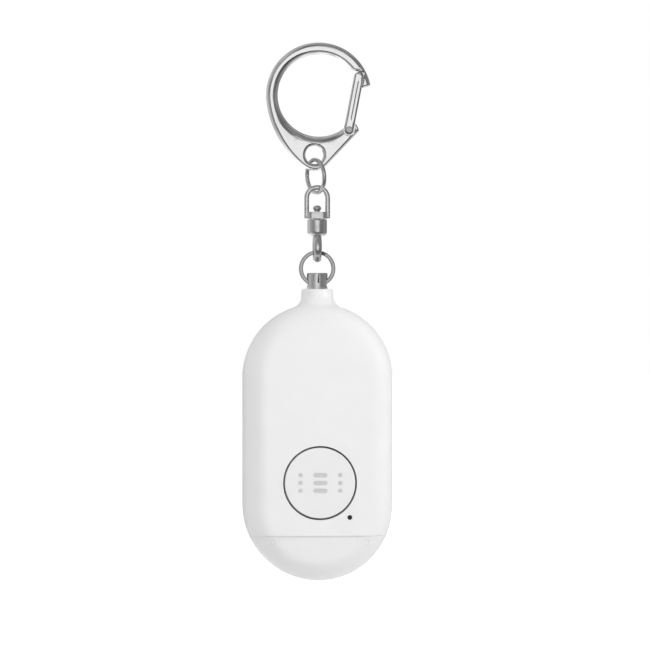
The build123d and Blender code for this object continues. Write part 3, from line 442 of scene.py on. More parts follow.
def sweptMesh(name, path, across, along, profile, closed=False):
    # a profile carried along a path: each point is the path's point plus the profile's two measures
    # along the path's own two directions. Open ends get a rounded cap that shrinks to a point.
    across, along = np.broadcast_to(across, path.shape), np.broadcast_to(along, path.shape)
    widths = np.ones(len(path))
    if not closed:
        step = unit(np.gradient(path, axis=0))
        left, out = np.array(capShape).T
        edges = ((len(left), len(left)), (0, 0))
        across, along = np.pad(across, edges, mode="edge"), np.pad(along, edges, mode="edge")
        path = np.concatenate([path[0] - step[0] * profile["cap"] * out[::-1, None], path,
                               path[-1] + step[-1] * profile["cap"] * out[:, None]])
        widths = np.concatenate([left[::-1], widths, left])
    u, v = profile["u"], profile["v"]
    points = (path[:, None, :] + widths[:, None, None] * (u[None, :, None] * across[:, None, :]
                                                          + v[None, :, None] * along[:, None, :]))
    return meshFrom(name, points, gridFaces(len(path), len(u), closed, True))


def roundedBar(width, depth, corner, count=8, bulge=0.6):
    # outline of a bar with rounded corners: quarter circles at the four corners, joined by straight sides.
    # An open end bulges out by a share of the corner
    angles = np.radians(np.arange(4)[:, None] * 90 + np.linspace(0, 90, count)[None, :]).ravel()
    signs = np.repeat(np.array([(1, 1), (-1, 1), (-1, -1), (1, -1)]), count, axis=0)
    u = signs[:, 0] * (width / 2 - corner) + corner * np.cos(angles)
    v = signs[:, 1] * (depth / 2 - corner) + corner * np.sin(angles)
    return {"u": u, "v": v, "cap": corner * bulge}


def ovalBar(width, depth, count=32, bulge=0.2):
    # outline of an oval bar: an ellipse of half its width and half its depth. An open end bulges out by a
    # share of the depth
    angles = np.linspace(0, 2 * np.pi, count, endpoint=False)
    return {"u": width / 2 * np.cos(angles), "v": depth / 2 * np.sin(angles), "cap": depth * bulge}


def roundWire(radius, count=28):  # outline of a wire: the oval bar's with two equal measures
    return ovalBar(2 * radius, 2 * radius, count, 0.225)


def turnedMesh(name, profile, centre, upright=True, count=96):
    # a profile of radii and heights turned once round: each point is the centre plus its radius times the
    # cosine and sine of the turn, and its height along the axis, which is Z if upright and Y if not
    radius, height = np.array(profile).T
    turn = np.linspace(0, 2 * np.pi, count, endpoint=False)
    points = np.zeros((len(radius), count, 3))
    points[..., 0] = radius[:, None] * np.cos(turn)
    points[..., 1 if upright else 2] = radius[:, None] * np.sin(turn)
    points[..., 2 if upright else 1] = height[:, None]
    return meshFrom(name, points + np.array(centre), gridFaces(len(radius), count, False, True),
                    turn=shading["gridTurn"])


def arcPoints(centreRadius, centreHeight, acrossReach, upReach, start, end, count=9):
    # points of an ellipse's arc, as radius and height
    turn = np.radians(np.linspace(start, end, count))
    return list(zip(centreRadius + acrossReach * np.cos(turn), centreHeight + upReach * np.sin(turn)))


def joinedMesh(name, meshes):  # several closed meshes as one
    joinedUp = bpy.data.meshes.new(name)
    form = formOf(*meshes)
    form.to_mesh(joinedUp)
    form.free()
    return joinedUp


def cutOut(name, mesh, cutter, turn):  # what is left of a mesh when a second one is cut out of it
    kept, cutting = addObject("kept", mesh), addObject("cutting", cutter)
    cut = kept.modifiers.new("cut", "BOOLEAN")
    cut.object, cut.solver = cutting, "EXACT"
    whole = bpy.data.meshes.new_from_object(kept.evaluated_get(bpy.context.evaluated_depsgraph_get()))
    whole.name = name
    for done in (kept, cutting):
        bpy.data.objects.remove(done)
    return closedUp(whole, turn)


# hook: a cast bar round the opening that widens below into a web with an eye. Angles are in degrees round
# the opening's centre, from +X through the top
hook = {
    "centre": (0.4 * mm, -9.9 * mm), "opening": 9.9 * mm, "bar": 2.75 * mm, "half": 1.6 * mm,
    "nose": 10.5, "lug": 322.0,  # where the cast starts and ends
    "flankTop": 187.6, "flankFoot": 258.95, "bossFoot": 275.56, "lugCorner": 319.4,  # the outline's parts
    "flank": (11.155 * mm, -8.466 * mm, 23.5 * mm),  # x, z and radius of the left flank
    "eye": (-0.7 * mm, -24.2 * mm), "eyeHole": 2.2 * mm, "eyeBoss": 3.8 * mm, "eyeRound": 0.8 * mm,
    "lugLine": ((2.048 * mm, -26.825 * mm), (10.195 * mm, -18.295 * mm), (9.541 * mm, -17.042 * mm)),
    "softPoints": 13, "softSpan": 8,  # points of the average that rounds the lug's corner, and its reach
    "endRound": 0.5 * mm, "endPoints": 7,
    # angle and mm: how far the roundings reach across the bar
    "innerAcross": ((10.5, 0.8), (90, 0.95), (180, 1.6), (270, 2.05), (322, 1.2)),
    "outerAcross": ((10.5, 1.1), (90, 1.1), (180, 1.2), (235, 0.95), (270, 0.8), (322, 0.8)),
    "mostAcross": 0.48,  # share of the bar's width that a rounding may take
    "innerDeep": 1.5 * mm, "outerDeep": 1.15 * mm, "leastLeft": 0.1 * mm,
    # angle and slope of the front where it meets the opening
    "fall": ((10.5, 0.0), (90, 0.03), (150, 0.10), (180, 0.14), (215, 0.15), (235, 0.09), (255, 0.0),
             (280, 0.0), (298, 0.07), (310, 0.09), (322, 0.04)),
    "pivot": (7.6 * mm, -18.2 * mm), "tilt": 10.9, "gateReach": 14.3 * mm,
    "noseEdge": 1.2 * mm, "noseNotch": -0.55 * mm, "notchEnd": 60,
    "lugPocket": 1.39 * mm, "lugOpen": 5.5 * mm, "tongue": 0.7 * mm, "step": 0.12 * mm,
    "turns": 640, "roundPoints": 12, "runPoints": 26,
}


def gateAxes(spec):  # the gate's pivot, the way across it and the way along it, as x, y and z
    tilt = math.radians(spec["tilt"])
    x, z = spec["pivot"]
    return (np.array([x, 0, z]), xAxis * math.cos(tilt) - zAxis * math.sin(tilt),
            xAxis * math.sin(tilt) + zAxis * math.cos(tilt))


def hookTurns(spec):
    # the angles of the outlines, and how far each one draws in: at both ends a quarter circle rounds the
    # bar off, so there the angle goes on with its sine while the outline draws in with its cosine
    bend = np.radians(np.linspace(90, 0, spec["endPoints"]))
    rounding = spec["endRound"] * (1 - np.cos(bend))
    shift = np.degrees(spec["endRound"] * (1 - np.sin(bend)) / (spec["opening"] + spec["bar"] / 2))
    middle = np.linspace(spec["nose"] + shift[-1], spec["lug"] - shift[-1], spec["turns"])[1:-1]
    degrees = np.concatenate([spec["nose"] + shift, middle, (spec["lug"] - shift)[::-1]])
    return degrees, np.concatenate([rounding, np.zeros(len(middle)), rounding[::-1]])


def hookReach(degrees, facing, spec):
    # distance from the opening's centre to the outline: the bar's circle, the flank's arc, the arc round
    # the eye and two straight lines at the lug, each over the angles where the outline follows it
    centre = np.array(spec["centre"])

    def toArc(x, z, radius):
        offset = np.array([x, z]) - centre
        middle = facing @ offset
        return middle + np.sqrt(np.maximum(middle * middle - offset @ offset + radius * radius, 0))

    def toLine(first, second):
        (alongX, alongZ), (startX, startZ) = np.array(second) - np.array(first), np.array(first) - centre
        return (startX * alongZ - startZ * alongX) / (facing[:, 0] * alongZ - facing[:, 1] * alongX)

    foot, corner, end = spec["lugLine"]
    reach = np.select(
        [degrees < spec["flankTop"], degrees < spec["flankFoot"], degrees < spec["bossFoot"],
         degrees < spec["lugCorner"]],
        [np.full_like(degrees, spec["opening"] + spec["bar"]), toArc(*spec["flank"]),
         toArc(*spec["eye"], spec["eyeBoss"]), toLine(foot, corner)],
        toLine(corner, end))
    kernel = np.hanning(spec["softPoints"])
    soft = np.convolve(np.pad(reach, len(kernel) // 2, mode="edge"), kernel / kernel.sum(), mode="valid")
    return np.where(degrees > spec["lug"] - spec["softSpan"], soft, reach)  # the lug's corner is rounded off


def gateNotch(degrees, facing, spec):
    # the notch in the nose that the gate's tip closes into: how far a line out of the opening goes until it
    # meets the notch's straight side or the circle of the gate's tip
    pivot, across, _ = (axis[[0, 2]] for axis in gateAxes(spec))
    start = np.array(spec["centre"]) + facing * spec["opening"] - pivot
    toEdge = (spec["noseNotch"] - start @ across) / (facing @ across)
    ahead = np.sum(start * facing, axis=1)
    inside = spec["gateReach"] ** 2 - np.sum(start * start, axis=1)
    toTip = -ahead + np.sqrt(np.maximum(ahead ** 2 + inside, 0))
    return np.where(degrees < spec["notchEnd"], np.clip(np.minimum(toEdge, toTip), 0, None), 0)


def tongueDepth(place, spec):
    # half the thickness that is left: the nose and the lug are thinned to tongues where the gate's channel
    # closes over them, and the depth climbs back over one step outside those two regions
    pivot, across, along = (axis[[0, 2]] for axis in gateAxes(spec))
    local = place - pivot
    side, up, away = local @ across, local @ along, np.linalg.norm(local, axis=-1)
    atNose = np.maximum(away - spec["gateReach"],
                        np.maximum(side - spec["noseEdge"], spec["gateReach"] / 2 - up))
    atLug = np.minimum(away - spec["lugPocket"],
                       np.maximum(np.abs(side) - spec["lugPocket"], np.maximum(-up, up - spec["lugOpen"])))
    climb = np.clip(np.minimum(atNose, atLug) / spec["step"], 0, 1)
    return spec["tongue"] + (spec["half"] - spec["tongue"]) * climb


def hookPoints(spec):
    # for each angle round the opening one closed outline: a quarter ellipse out of the opening, a run over
    # the web and a quarter ellipse to the outer edge along the front, then the same along the rear
    degrees, inset = hookTurns(spec)
    facing = np.stack([np.cos(np.radians(degrees)), np.sin(np.radians(degrees))], axis=1)
    inner = spec["opening"] + gateNotch(degrees, facing, spec) + inset
    outer = hookReach(degrees, facing, spec) - inset
    most = (outer - inner) * spec["mostAcross"]
    innerAcross = np.minimum(np.interp(degrees, *zip(*spec["innerAcross"])) * mm, most)
    outerAcross = np.minimum(np.interp(degrees, *zip(*spec["outerAcross"])) * mm, most)
    fall = np.interp(degrees, *zip(*spec["fall"]))
    inner, outer, innerAcross, outerAcross, fall, half = (
        values[:, None] for values in (inner, outer, innerAcross, outerAcross, fall, spec["half"] - inset))
    first, last = inner + innerAcross, outer - outerAcross
    span = last - first
    innerDeep = np.minimum(spec["innerDeep"], half - fall * (span / 2 + innerAcross) - spec["leastLeft"])
    outerDeep = np.minimum(spec["outerDeep"], half)
    bend = np.radians(np.linspace(0, 90, spec["roundPoints"]))
    run = np.linspace(0, 1, spec["runPoints"])[1:-1]
    reach = np.concatenate([inner + innerAcross * (1 - np.cos(bend)), first + span * run,
                            outer - outerAcross * (1 - np.cos(bend[::-1]))], axis=1)
    depth = np.concatenate([half - innerDeep + innerDeep * np.sin(bend), np.repeat(half, len(run), 1),
                            half - outerDeep + outerDeep * np.sin(bend[::-1])], axis=1)
    # the run is crowned: its depth falls with the square of the distance from its outer end, and the
    # opening's rounding goes on with the same slope
    back = np.clip((last - reach) / span, 0, None)
    depth -= fall * span / 2 * np.where(back < 1, back ** 2, 2 * back - 1)
    place = np.array(spec["centre"]) + reach[..., None] * facing[:, None, :]
    depth = np.minimum(depth, tongueDepth(place, spec))
    front = np.stack([place[..., 0], -depth, place[..., 1]], axis=-1)
    rear = np.stack([place[..., 0], depth, place[..., 1]], axis=-1)[:, ::-1]
    return np.concatenate([front, rear], axis=1)


def eyeCutter(spec):
    # the eye's hole with its rounded rims: a straight bore, a quarter circle outwards at each face, and on
    # past the faces
    rim = spec["eyeRound"]
    wide, beyond = spec["eyeHole"] + rim, spec["half"] * 1.5
    upper = arcPoints(wide, spec["half"] - rim, -rim, rim, 0, 90) + [(wide, beyond), (0, beyond)]
    profile = [(radius, -height) for radius, height in reversed(upper)] + upper
    return turnedMesh("cutter", profile, (spec["eye"][0], 0, spec["eye"][1]), False)


def makeHook(spec):  # rows of outlines joined along the bar, a face at each end, and the eye cut out
    points = hookPoints(spec)
    rows, columns = points.shape[:2]
    ends = np.arange(columns) + np.array([[0], [(rows - 1) * columns]])
    cast = meshFrom("cast", points, gridFaces(rows, columns, False, True), ends)
    return flatLeads(newPiece("hook_cast", cutOut("hook_cast", cast, eyeCutter(spec), shading["gridTurn"]),
                              "hook_body"))


# gate: a folded channel, two crowned flanges with a pressed groove and the web that joins them
gate = {
    "half": 1.1 * mm, "length": 14.2 * mm, "front": 1.25 * mm, "inside": 0.8 * mm, "sheet": 0.45 * mm,
    "crown": 0.20 * mm, "edge": 0.14 * mm, "edgePower": 12,  # the edge falls off with this power
    "groove": 0.11 * mm, "grooveAt": 0.18 * mm, "grooveWide": 0.26 * mm,
    "grooveSpan": (2.4 * mm, 12.0 * mm), "grooveFade": 1.2 * mm,
    "webStart": 1.35 * mm, "webDeep": 1.9 * mm, "webRound": 0.2 * mm, "webRows": 60,
    "endRows": 16, "rows": 150, "columns": 49,
}


def gateFlange(name, facing, spec):
    # a plate with round ends: its half width is that of a slot, and its outer face falls off with the square
    # of the distance from the middle line and steeply at the edge, with a bell-shaped groove beside that line
    pivot, across, along = gateAxes(hook)
    half, top = spec["half"], spec["length"] - spec["half"]
    bend = np.radians(np.linspace(0, 90, spec["endRows"]))
    up = np.concatenate([-half * np.cos(bend), np.linspace(0, top, spec["rows"])[1:-1],
                         top + half * np.sin(bend)])
    past = np.maximum(0, np.maximum(-up, up - top))[:, None]
    wide = (np.sqrt(np.maximum(half ** 2 - past ** 2, 0))
            * np.sin(np.linspace(-np.pi / 2, np.pi / 2, spec["columns"])))
    share = np.hypot(wide, past) / half
    start, end = spec["grooveSpan"]
    window = np.clip(np.minimum(up - start, end - up) / spec["grooveFade"] + 0.5, 0, 1)[:, None]
    groove = spec["groove"] * window * np.exp(-((wide - spec["grooveAt"]) / spec["grooveWide"]) ** 2)
    outer = spec["front"] - spec["crown"] * share ** 2 - spec["edge"] * share ** spec["edgePower"] - groove
    inner = np.full_like(outer, spec["inside"])
    side = np.concatenate([wide, wide[:, ::-1]], axis=1)
    points = pivot + side[..., None] * across + up[:, None, None] * along
    points[..., 1] += np.concatenate([outer, inner[:, ::-1]], axis=1) * facing
    return meshFrom(name, points, gridFaces(len(up), points.shape[1], False, True), turn=shading["gridTurn"])


def makeGate(spec):  # two mirrored flanges and, near their left edges, a bar carried up as the web
    pivot, across, along = gateAxes(hook)
    rise = np.linspace(spec["webStart"] + spec["webRound"], spec["length"] - spec["half"], spec["webRows"])
    path = pivot - across * (spec["half"] - spec["sheet"] / 2) + rise[:, None] * along
    web = sweptMesh("web", path, across, yAxis, roundedBar(spec["sheet"], spec["webDeep"], spec["webRound"]))
    flanges = [gateFlange("flange", facing, spec) for facing in (-1, 1)]
    return flatLeads(newPiece("gate_folded", joinedMesh("gate_folded", flanges + [web]), "gate",
                              "polished_zinc"))


# swivel: a turned barrel close under the bail's crossbar, a neck and a loop that runs to a point
swivel = {
    "radius": 2.35 * mm, "tall": 3.7 * mm, "gapAbove": 0.12 * mm, "topRound": 0.4 * mm, "footRound": 1.1 * mm,
    "loopDrop": 2.95 * mm, "loopReach": 2.275 * mm, "loopRise": 3.1 * mm,
    "wall": 1.25 * mm, "thick": 1.9 * mm,
    "tip": 0.45 * mm, "tipAt": 270, "tipSpread": 20.0,  # how far the loop swells, and over which angles
    "neckWide": 3.2 * mm, "neckStart": 1.9 * mm, "neckPoints": 12, "points": 160,
}


def makeSwivel(spec):
    # the barrel is a turned profile, the loop an oval bar carried round an egg in the YZ plane, half a
    # circle below that swells to a point and half a taller ellipse above, and the neck an oval bar
    # carried straight up
    foot = corners("swivel_eye")[1][2] - spec["tall"]
    top = corners("swivel_bail")[0][2] - spec["gapAbove"]
    radius, topRound, footRound = spec["radius"], spec["topRound"], spec["footRound"]
    profile = ([(0, foot)] + arcPoints(radius - footRound, foot + footRound, footRound, footRound, -90, 0)
               + arcPoints(radius - topRound, top - topRound, topRound, topRound, 0, 90) + [(0, top)])
    barrel = turnedMesh("barrel", profile, (0, 0, 0))
    middle = foot - spec["loopDrop"]
    turn = np.linspace(0, 2 * np.pi, spec["points"], endpoint=False)
    tip = spec["tip"] * np.exp(-((np.degrees(turn) - spec["tipAt"]) / spec["tipSpread"]) ** 2)
    upward = np.where(np.sin(turn) > 0, spec["loopRise"], spec["loopReach"] + tip) * np.sin(turn)
    path = np.stack([np.zeros_like(turn), spec["loopReach"] * np.cos(turn), middle + upward], axis=1)
    step = unit(np.roll(path, -1, 0) - np.roll(path, 1, 0))
    loop = sweptMesh("loop", path, np.cross(step, xAxis), xAxis, ovalBar(spec["wall"], spec["thick"]), True)
    rise = np.linspace(middle + spec["neckStart"], foot + footRound, spec["neckPoints"])
    neck = sweptMesh("neck", np.outer(rise, zAxis), yAxis, xAxis, ovalBar(spec["neckWide"], spec["thick"]))
    mesh = joinedMesh("swivel_turned", [barrel, loop, neck])
    return flatLeads(newPiece("swivel_turned", mesh, "swivel_eye", "plated_steel"))


# rivet of the swivel: a shank with a ball-like head
swivelRivet = {
    "shank": 0.7 * mm, "head": 1.0 * mm,
    "base": 1.7 * mm,  # where the head starts, above the bail's foot
    "neckAngle": -50.0, "points": 22,
}


def makeSwivelRivet(spec):  # turned: a straight shank, then an arc of an ellipse from the neck to the top
    low, high = corners("swivel_rivet")
    base = corners("swivel_bail")[0][2] + spec["base"]
    middle, tall = (base + high[2]) / 2, (high[2] - base) / 2
    profile = ([(0, low[2]), (spec["shank"], low[2]), (spec["shank"], base)]
               + arcPoints(0, middle, spec["head"], tall, spec["neckAngle"], 90, spec["points"]))
    return flatLeads(newPiece("swivel_rivet_turned", turnedMesh("swivel_rivet_turned", profile, (0, 0, 0)),
                              "swivel_rivet"))


# jump ring: one turn of round wire, nearly closed, turned on the chain
jumpRing = {"wire": 0.5 * mm, "turn": 64.0, "joint": 4.6, "points": 220}


def makeJumpRing(spec):
    # the wire is carried round a circle, less a small angle at its joint, in a plane that is turned about
    # the chain and leans to the eye of the hook
    low, high = corners("jump_ring")
    centre = (low + high) / 2
    reach = (high[2] - low[2]) / 2 - spec["wire"]
    lean = math.asin(centre[0] / reach)
    up = np.array([math.sin(lean), 0, math.cos(lean)])
    side = np.array([math.cos(lean), 0, -math.sin(lean)])
    turn = math.radians(spec["turn"])
    level = side * math.cos(turn) - yAxis * math.sin(turn)
    gap = math.radians(spec["joint"])
    t = np.pi + np.linspace(gap / 2, 2 * np.pi - gap / 2, spec["points"])
    radial = np.outer(np.cos(t), level) + np.outer(np.sin(t), up)
    mesh = sweptMesh("jump_ring_wire", centre + radial * reach, radial, np.cross(level, up),
                     roundWire(spec["wire"]))
    return newPiece("jump_ring_wire", mesh, "jump_ring")


# split ring: flat wire wound twice round, stepping from the front turn to the rear one
splitRing = {
    "band": 0.9 * mm, "corner": 0.2 * mm,
    "fill": 0.985,                     # share of the ring's thickness that the two turns take
    "stepAt": 67.0, "stepHalf": 9.0,   # the middle of the step and half its length, in degrees
    "endGap": 0.5,                     # degrees from an end of the wire to the step
    "points": 520,
}


def makeSplitRing(spec):
    # a flat bar carried twice round a circle: its depth is the front layer, a soft step, then the rear layer
    low, high = corners("split_ring")
    centre = (low + high) / 2
    thick = (high[1] - low[1]) / 2 * spec["fill"]
    reach = (high[2] - low[2]) / 2 - spec["band"] / 2
    half, gap = spec["stepHalf"], spec["endGap"]
    local = np.linspace(half + gap, 720 - half - gap, spec["points"])
    depth = (eased((local - (360 - half)) / (2 * half)) - 0.5) * thick
    t = np.radians(spec["stepAt"] + local)
    radial = np.outer(np.cos(t), xAxis) + np.outer(np.sin(t), zAxis)
    path = centre + radial * reach + np.outer(depth, yAxis)
    mesh = sweptMesh("split_ring_coil", path, radial, yAxis, roundedBar(spec["band"], thick, spec["corner"]))
    return newPiece("split_ring_coil", mesh, "split_ring")


# gate spring: a wire out of the lug that leans on the gate's web
gateSpring = {
    "wire": 0.2 * mm, "sides": 16, "points": 60,
    "bow": 0.25 * mm,                  # how far its middle stands out to the left
    "lugInset": (0.3 * mm, 0.1 * mm),  # where it starts, in from the solid's right side and foot
    "tipInset": 0.25 * mm,             # where it ends, down from the solid's top
}


def makeGateSpring(spec):  # the wire is carried along a straight line that bows out by half a sine wave
    low, high = corners("gate_spring")
    inward, upward = spec["lugInset"]
    lug = np.array([high[0] - inward, 0, low[2] + upward])
    tip = np.array([(low[0] + high[0]) / 2, 0, high[2] - spec["tipInset"]])
    s = np.linspace(0, 1, spec["points"])[:, None]
    path = lug + (tip - lug) * s - spec["bow"] * xAxis * np.sin(np.pi * s)
    step = unit(np.gradient(path, axis=0))
    mesh = sweptMesh("gate_spring_wire", path, np.cross(yAxis, step), yAxis,
                     roundWire(spec["wire"], spec["sides"]))
    piece = newPiece("gate_spring_wire", mesh, "gate_spring", ride=False)
    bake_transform(piece)
    return piece


# button cap: a face worked out on a square mapped to a disc, with the call mark pressed into it,
# then rings down its side, round the flange and back in under the skin
buttonCap = {
    "cells": 200,            # squares along a side of the face's grid
    "edge": 0.25 * mm,       # rounding of the face's rim
    "edgeRings": 6,
    "pressed": 0.09 * mm,    # depth of the mark
    # painted shade: the grey that colours the pressed mark, for the shade in its hollow
    "pressedShade": (0.62, 0.62, 0.62),
    "soft": 0.07 * mm,       # half width of the mark's slopes
    "dot": 0.52 * mm,        # radius of a dot, and half the width of a dash
    "dash": 1.15 * mm,       # half length of a dash without its round ends
    "columns": (-4.75 * mm, 0.0, 4.75 * mm),
    "rows": (-1.85 * mm, 0.0, 1.85 * mm),
    "flange": 0.9 * mm, "flangeThick": 0.6 * mm, "skirt": 1.2 * mm, "skin": 1.4 * mm,
    "pad": 1.9 * mm, "padTall": 1.3 * mm,  # radius and height of the boss that meets the switch
    "sharpTurn": 40.0,
}


def pressedMark(x, z, spec):
    # share of the full depth at a place: 1 inside a dot or dash, 0 outside, with a soft slope between
    share = np.zeros_like(x)
    for column in spec["columns"]:
        half = spec["dash"] if column == 0.0 else 0.0
        for row in spec["rows"]:
            past = np.maximum(np.abs(x - column) - half, 0)
            distance = np.hypot(past, z - row) - spec["dot"]
            share = np.maximum(share, eased(0.5 - distance / (2 * spec["soft"])))
    return share


def discGrid(cells):
    # a square grid mapped to a disc of radius 1, squares becoming circles of the same reach: the larger
    # coordinate is the radius, and the angle is an eighth turn times the smaller one's share of it
    a, b = np.meshgrid(np.linspace(-1, 1, cells + 1), np.linspace(-1, 1, cells + 1), indexing="ij")
    wide = np.abs(a) >= np.abs(b)
    reach, other = np.where(wide, a, b), np.where(wide, b, a)
    turn = np.pi / 4 * other / np.where(reach == 0, 1, reach)
    near, far = np.cos(turn), np.sin(turn)
    return reach * np.where(wide, near, far), reach * np.where(wide, far, near)


def rimOf(grid):  # the outer values of a grid, once round
    return np.concatenate([grid[:-1, 0], grid[-1, :-1], grid[:0:-1, -1], grid[0, :0:-1]])


def makeButton(spec):
    # the face's grid, rings of points at radii and levels that follow its rim, and a fan to close the pad
    low, high = corners("sos_button")
    centreX, centreZ = (low[0] + high[0]) / 2, (low[2] + high[2]) / 2
    front, back = low[1], high[1]
    flangeRadius = (high[0] - low[0]) / 2
    radius = flangeRadius - spec["flange"]
    faceRadius = radius - spec["edge"]
    x, z = (faceRadius * values for values in discGrid(spec["cells"]))
    share = pressedMark(x, z, spec)
    face = np.stack([centreX + x, front + share * spec["pressed"], centreZ + z], axis=-1)
    rim = rimOf(face)
    angles = np.arctan2(rim[:, 2] - centreZ, rim[:, 0] - centreX)
    bend = np.linspace(0, np.pi / 2, spec["edgeRings"] + 1)[1:]
    flangeFront, under = back - spec["flangeThick"], front + spec["skin"]
    inside, padEnd = radius - spec["skirt"], under + spec["padTall"]
    rings = np.array(
        list(zip(faceRadius + spec["edge"] * np.sin(bend), front + spec["edge"] * (1 - np.cos(bend))))
        + [(radius, flangeFront), (flangeRadius, flangeFront), (flangeRadius, back), (inside, back),
           (inside, under), (spec["pad"], under), (spec["pad"], padEnd)])
    radii, levels = rings[:, :1], rings[:, 1:]
    sides = np.stack(np.broadcast_arrays(centreX + radii * np.cos(angles), levels,
                                         centreZ + radii * np.sin(angles)), axis=-1)
    points = np.concatenate([face.reshape(-1, 3), sides.reshape(-1, 3), [[centreX, padEnd, centreZ]]])
    index = np.arange(share.size).reshape(share.shape)
    edge, start, count = rimOf(index), share.size, len(angles)
    here, following = np.arange(count), np.roll(np.arange(count), -1)
    lastRing = start + (len(rings) - 1) * count
    mesh = meshFrom(
        "button_cap", points, gridFaces(*share.shape, False, False),
        np.stack([edge, edge[following], start + following, start + here], axis=1),
        gridFaces(len(rings), count, False, True, start),
        np.stack([lastRing + here, lastRing + following, np.full(count, len(points) - 1)], axis=1),
        turn=spec["sharpTurn"])
    # the mark's depth share also places its painted shade
    pressedLayer = mesh.attributes.new("pressed", "FLOAT", "POINT")
    pressedLayer.data.foreach_set("value", np.pad(share.ravel(), (0, len(points) - share.size)))
    shadePressed(finishes["white_button"], spec["pressedShade"])
    return newPiece("button_cap", mesh, "sos_button")


makeHook(hook)
makeGate(gate)
makeSwivel(swivel)
makeSwivelRivet(swivelRivet)
print("hook and swivel made")
makeJumpRing(jumpRing)
makeSplitRing(splitRing)
makeGateSpring(gateSpring)
makeButton(buttonCap)
print("rings, spring and button made")


floor = {
    "below": 0.024, "reach": 6.0,
    "white": 0.90, "rough": 0.9,
    "shown": 0.75,  # glow that only the camera sees
}


def makeFloor(spec):  # a square round the Z axis, below the alarm
    low, reach = cadBox[0][2] - spec["below"], spec["reach"]
    mesh = bpy.data.meshes.new("floor")
    mesh.from_pydata([(-reach, -reach, low), (reach, -reach, low), (reach, reach, low), (-reach, reach, low)],
                     [], [(0, 1, 2, 3)])
    plane = addObject("floor", mesh)
    material, tree, shader = startMaterial("floor", (spec["white"],) * 3, spec["rough"],
                                           Specular_IOR_Level=0.0)
    glows = [node(tree, "ShaderNodeEmission", Strength=strength).outputs["Emission"]
             for strength in (0.0, spec["shown"])]
    seen = node(tree, "ShaderNodeLightPath").outputs["Is Camera Ray"]
    both = outputOf(tree, "ShaderNodeAddShader", shader.outputs["BSDF"],
                    outputOf(tree, "ShaderNodeMixShader", seen, *glows))
    feed(tree, both, tree.nodes["Material Output"].inputs["Surface"])
    mesh.materials.append(material)
    plane.visible_glossy = False  # metal mirrors the studio's panels alone


studio = {
    "fill": 0.57,            # level of the even light on the alarm
    "front": 1.0,            # what metal mirrors from straight ahead of the alarm
    "frontEdge": (0.030, 0.062),  # where that white panel ends: 0 is straight ahead, 1 straight behind
    "near": (0.012, 0.23),   # room just round the panel, from straight below to level with it and above
    "nearRise": (-0.8, 0.1),  # over which heights it changes: -1 is straight below
    "far": (1.0, 0.42),      # room behind the alarm, from straight below to level with it and above
    "farRise": (-0.9, -0.3),
    "spread": (0.05, 0.72),  # where the room turns from near to far
    "sides": (1.35, 0.65),   # left of the room against its right
    "patches": 0.03,         # how far soft blotches move the panel's edge
    "patchScale": 4.0,
    "clouds": (0.45, 1.55),  # how much other blotches darken and lighten the room
    "cloudScale": 3.2,
    "levels": (0.3, 0.7),    # the levels that a noise keeps to, mostly
}


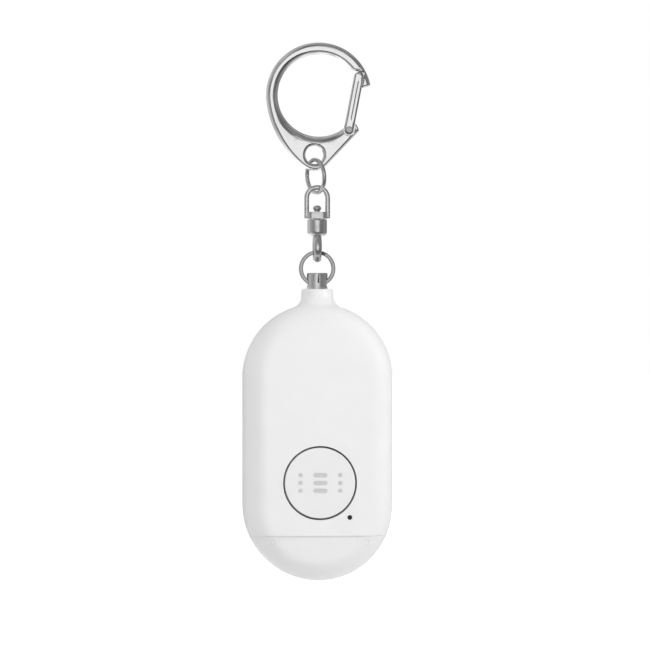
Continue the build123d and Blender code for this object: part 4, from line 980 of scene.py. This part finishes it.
def makeWorld(spec):
    # the camera sees white, metal mirrors a white panel in a room with clouds, and the rest gets even light
    world = bpy.data.worlds.new("studio")
    bpy.context.scene.world = world
    world.use_nodes = True
    tree = world.node_tree
    tree.nodes.clear()
    place = node(tree, "ShaderNodeTexCoord").outputs["Generated"]
    blotches = noise(tree, place, Scale=spec["patchScale"], Detail=1.0)
    clouds = noise(tree, place, Scale=spec["cloudScale"], Detail=2.0)
    # 0 straight ahead of the alarm, 1 straight behind it
    behind = ranged(tree, node(tree, "ShaderNodeSeparateXYZ", Vector=place).outputs["Y"], (0, 1), (-1, 1))
    # which way a direction leans off that line: up or down, left or right
    level = outputOf(tree, "ShaderNodeVectorMath", place, (1, 0, 1), operation="MULTIPLY")
    level = outputOf(tree, "ShaderNodeVectorMath", level, operation="NORMALIZE")
    lean = node(tree, "ShaderNodeSeparateXYZ", Vector=level)
    near = ranged(tree, lean.outputs["Z"], spec["near"], spec["nearRise"], True)
    far = ranged(tree, lean.outputs["Z"], spec["far"], spec["farRise"], True)
    side = ranged(tree, lean.outputs["X"], spec["sides"], (-1, 1))
    room = node(tree, "ShaderNodeMix", {"data_type": "FLOAT"}, A=near, B=far,
                Factor=ranged(tree, behind, (0, 1), spec["spread"], True)).outputs["Result"]
    tone = maths(tree, "MULTIPLY", side, ranged(tree, clouds, spec["clouds"], spec["levels"]))
    room = maths(tree, "MULTIPLY", room, tone)
    moved = ranged(tree, blotches, (-spec["patches"], spec["patches"]), spec["levels"])
    panel = ranged(tree, maths(tree, "ADD", behind, moved), (spec["front"], 0), spec["frontEdge"], True)

    def background(colour, strength=1.0):
        return node(tree, "ShaderNodeBackground", Color=colour, Strength=strength).outputs["Background"]

    rays = node(tree, "ShaderNodeLightPath").outputs
    lit = outputOf(tree, "ShaderNodeMixShader", rays["Is Glossy Ray"], background((1, 1, 1, 1), spec["fill"]),
                   background(maths(tree, "MAXIMUM", room, panel)))
    seen = maths(tree, "MAXIMUM", rays["Is Camera Ray"], rays["Is Transmission Ray"])
    final = outputOf(tree, "ShaderNodeMixShader", seen, lit, background((1, 1, 1, 1)))
    feed(tree, final, node(tree, "ShaderNodeOutputWorld").inputs["Surface"])


lamps = {  # place, size, watts. The key is near, so its light falls off to the left and down the case
    "keyRight": ((0.33, -0.20, 0.05), 0.22, 0.60),
    "frontSoft": ((0.05, -0.75, -0.30), 0.60, 0.8),
    "topSoft": ((-0.12, -0.16, 0.12), 0.20, 0.18),
    "rearSoft": ((0.0, 0.80, 0.25), 0.80, 2.2),
}


def makeLamps(spec):  # round lamps that all face the alarm's middle
    middle = (np.array(cadBox[0]) + np.array(cadBox[1])) / 2
    for name, (place, size, watts) in spec.items():
        data = bpy.data.lights.new(name, "AREA")
        data.shape, data.size, data.energy = "DISK", size, watts
        lamp = addObject(name, data)
        lamp.visible_glossy = False  # metal mirrors the studio's panels alone
        lamp.location = place
        x, y, z = middle - np.array(place)
        lamp.rotation_euler = (math.atan2(math.hypot(x, y), -z), 0, math.atan2(-x, y))


makeFloor(floor)
makeWorld(studio)
makeLamps(lamps)
bpy.context.scene.view_settings.view_transform = "Standard"
print("studio set")
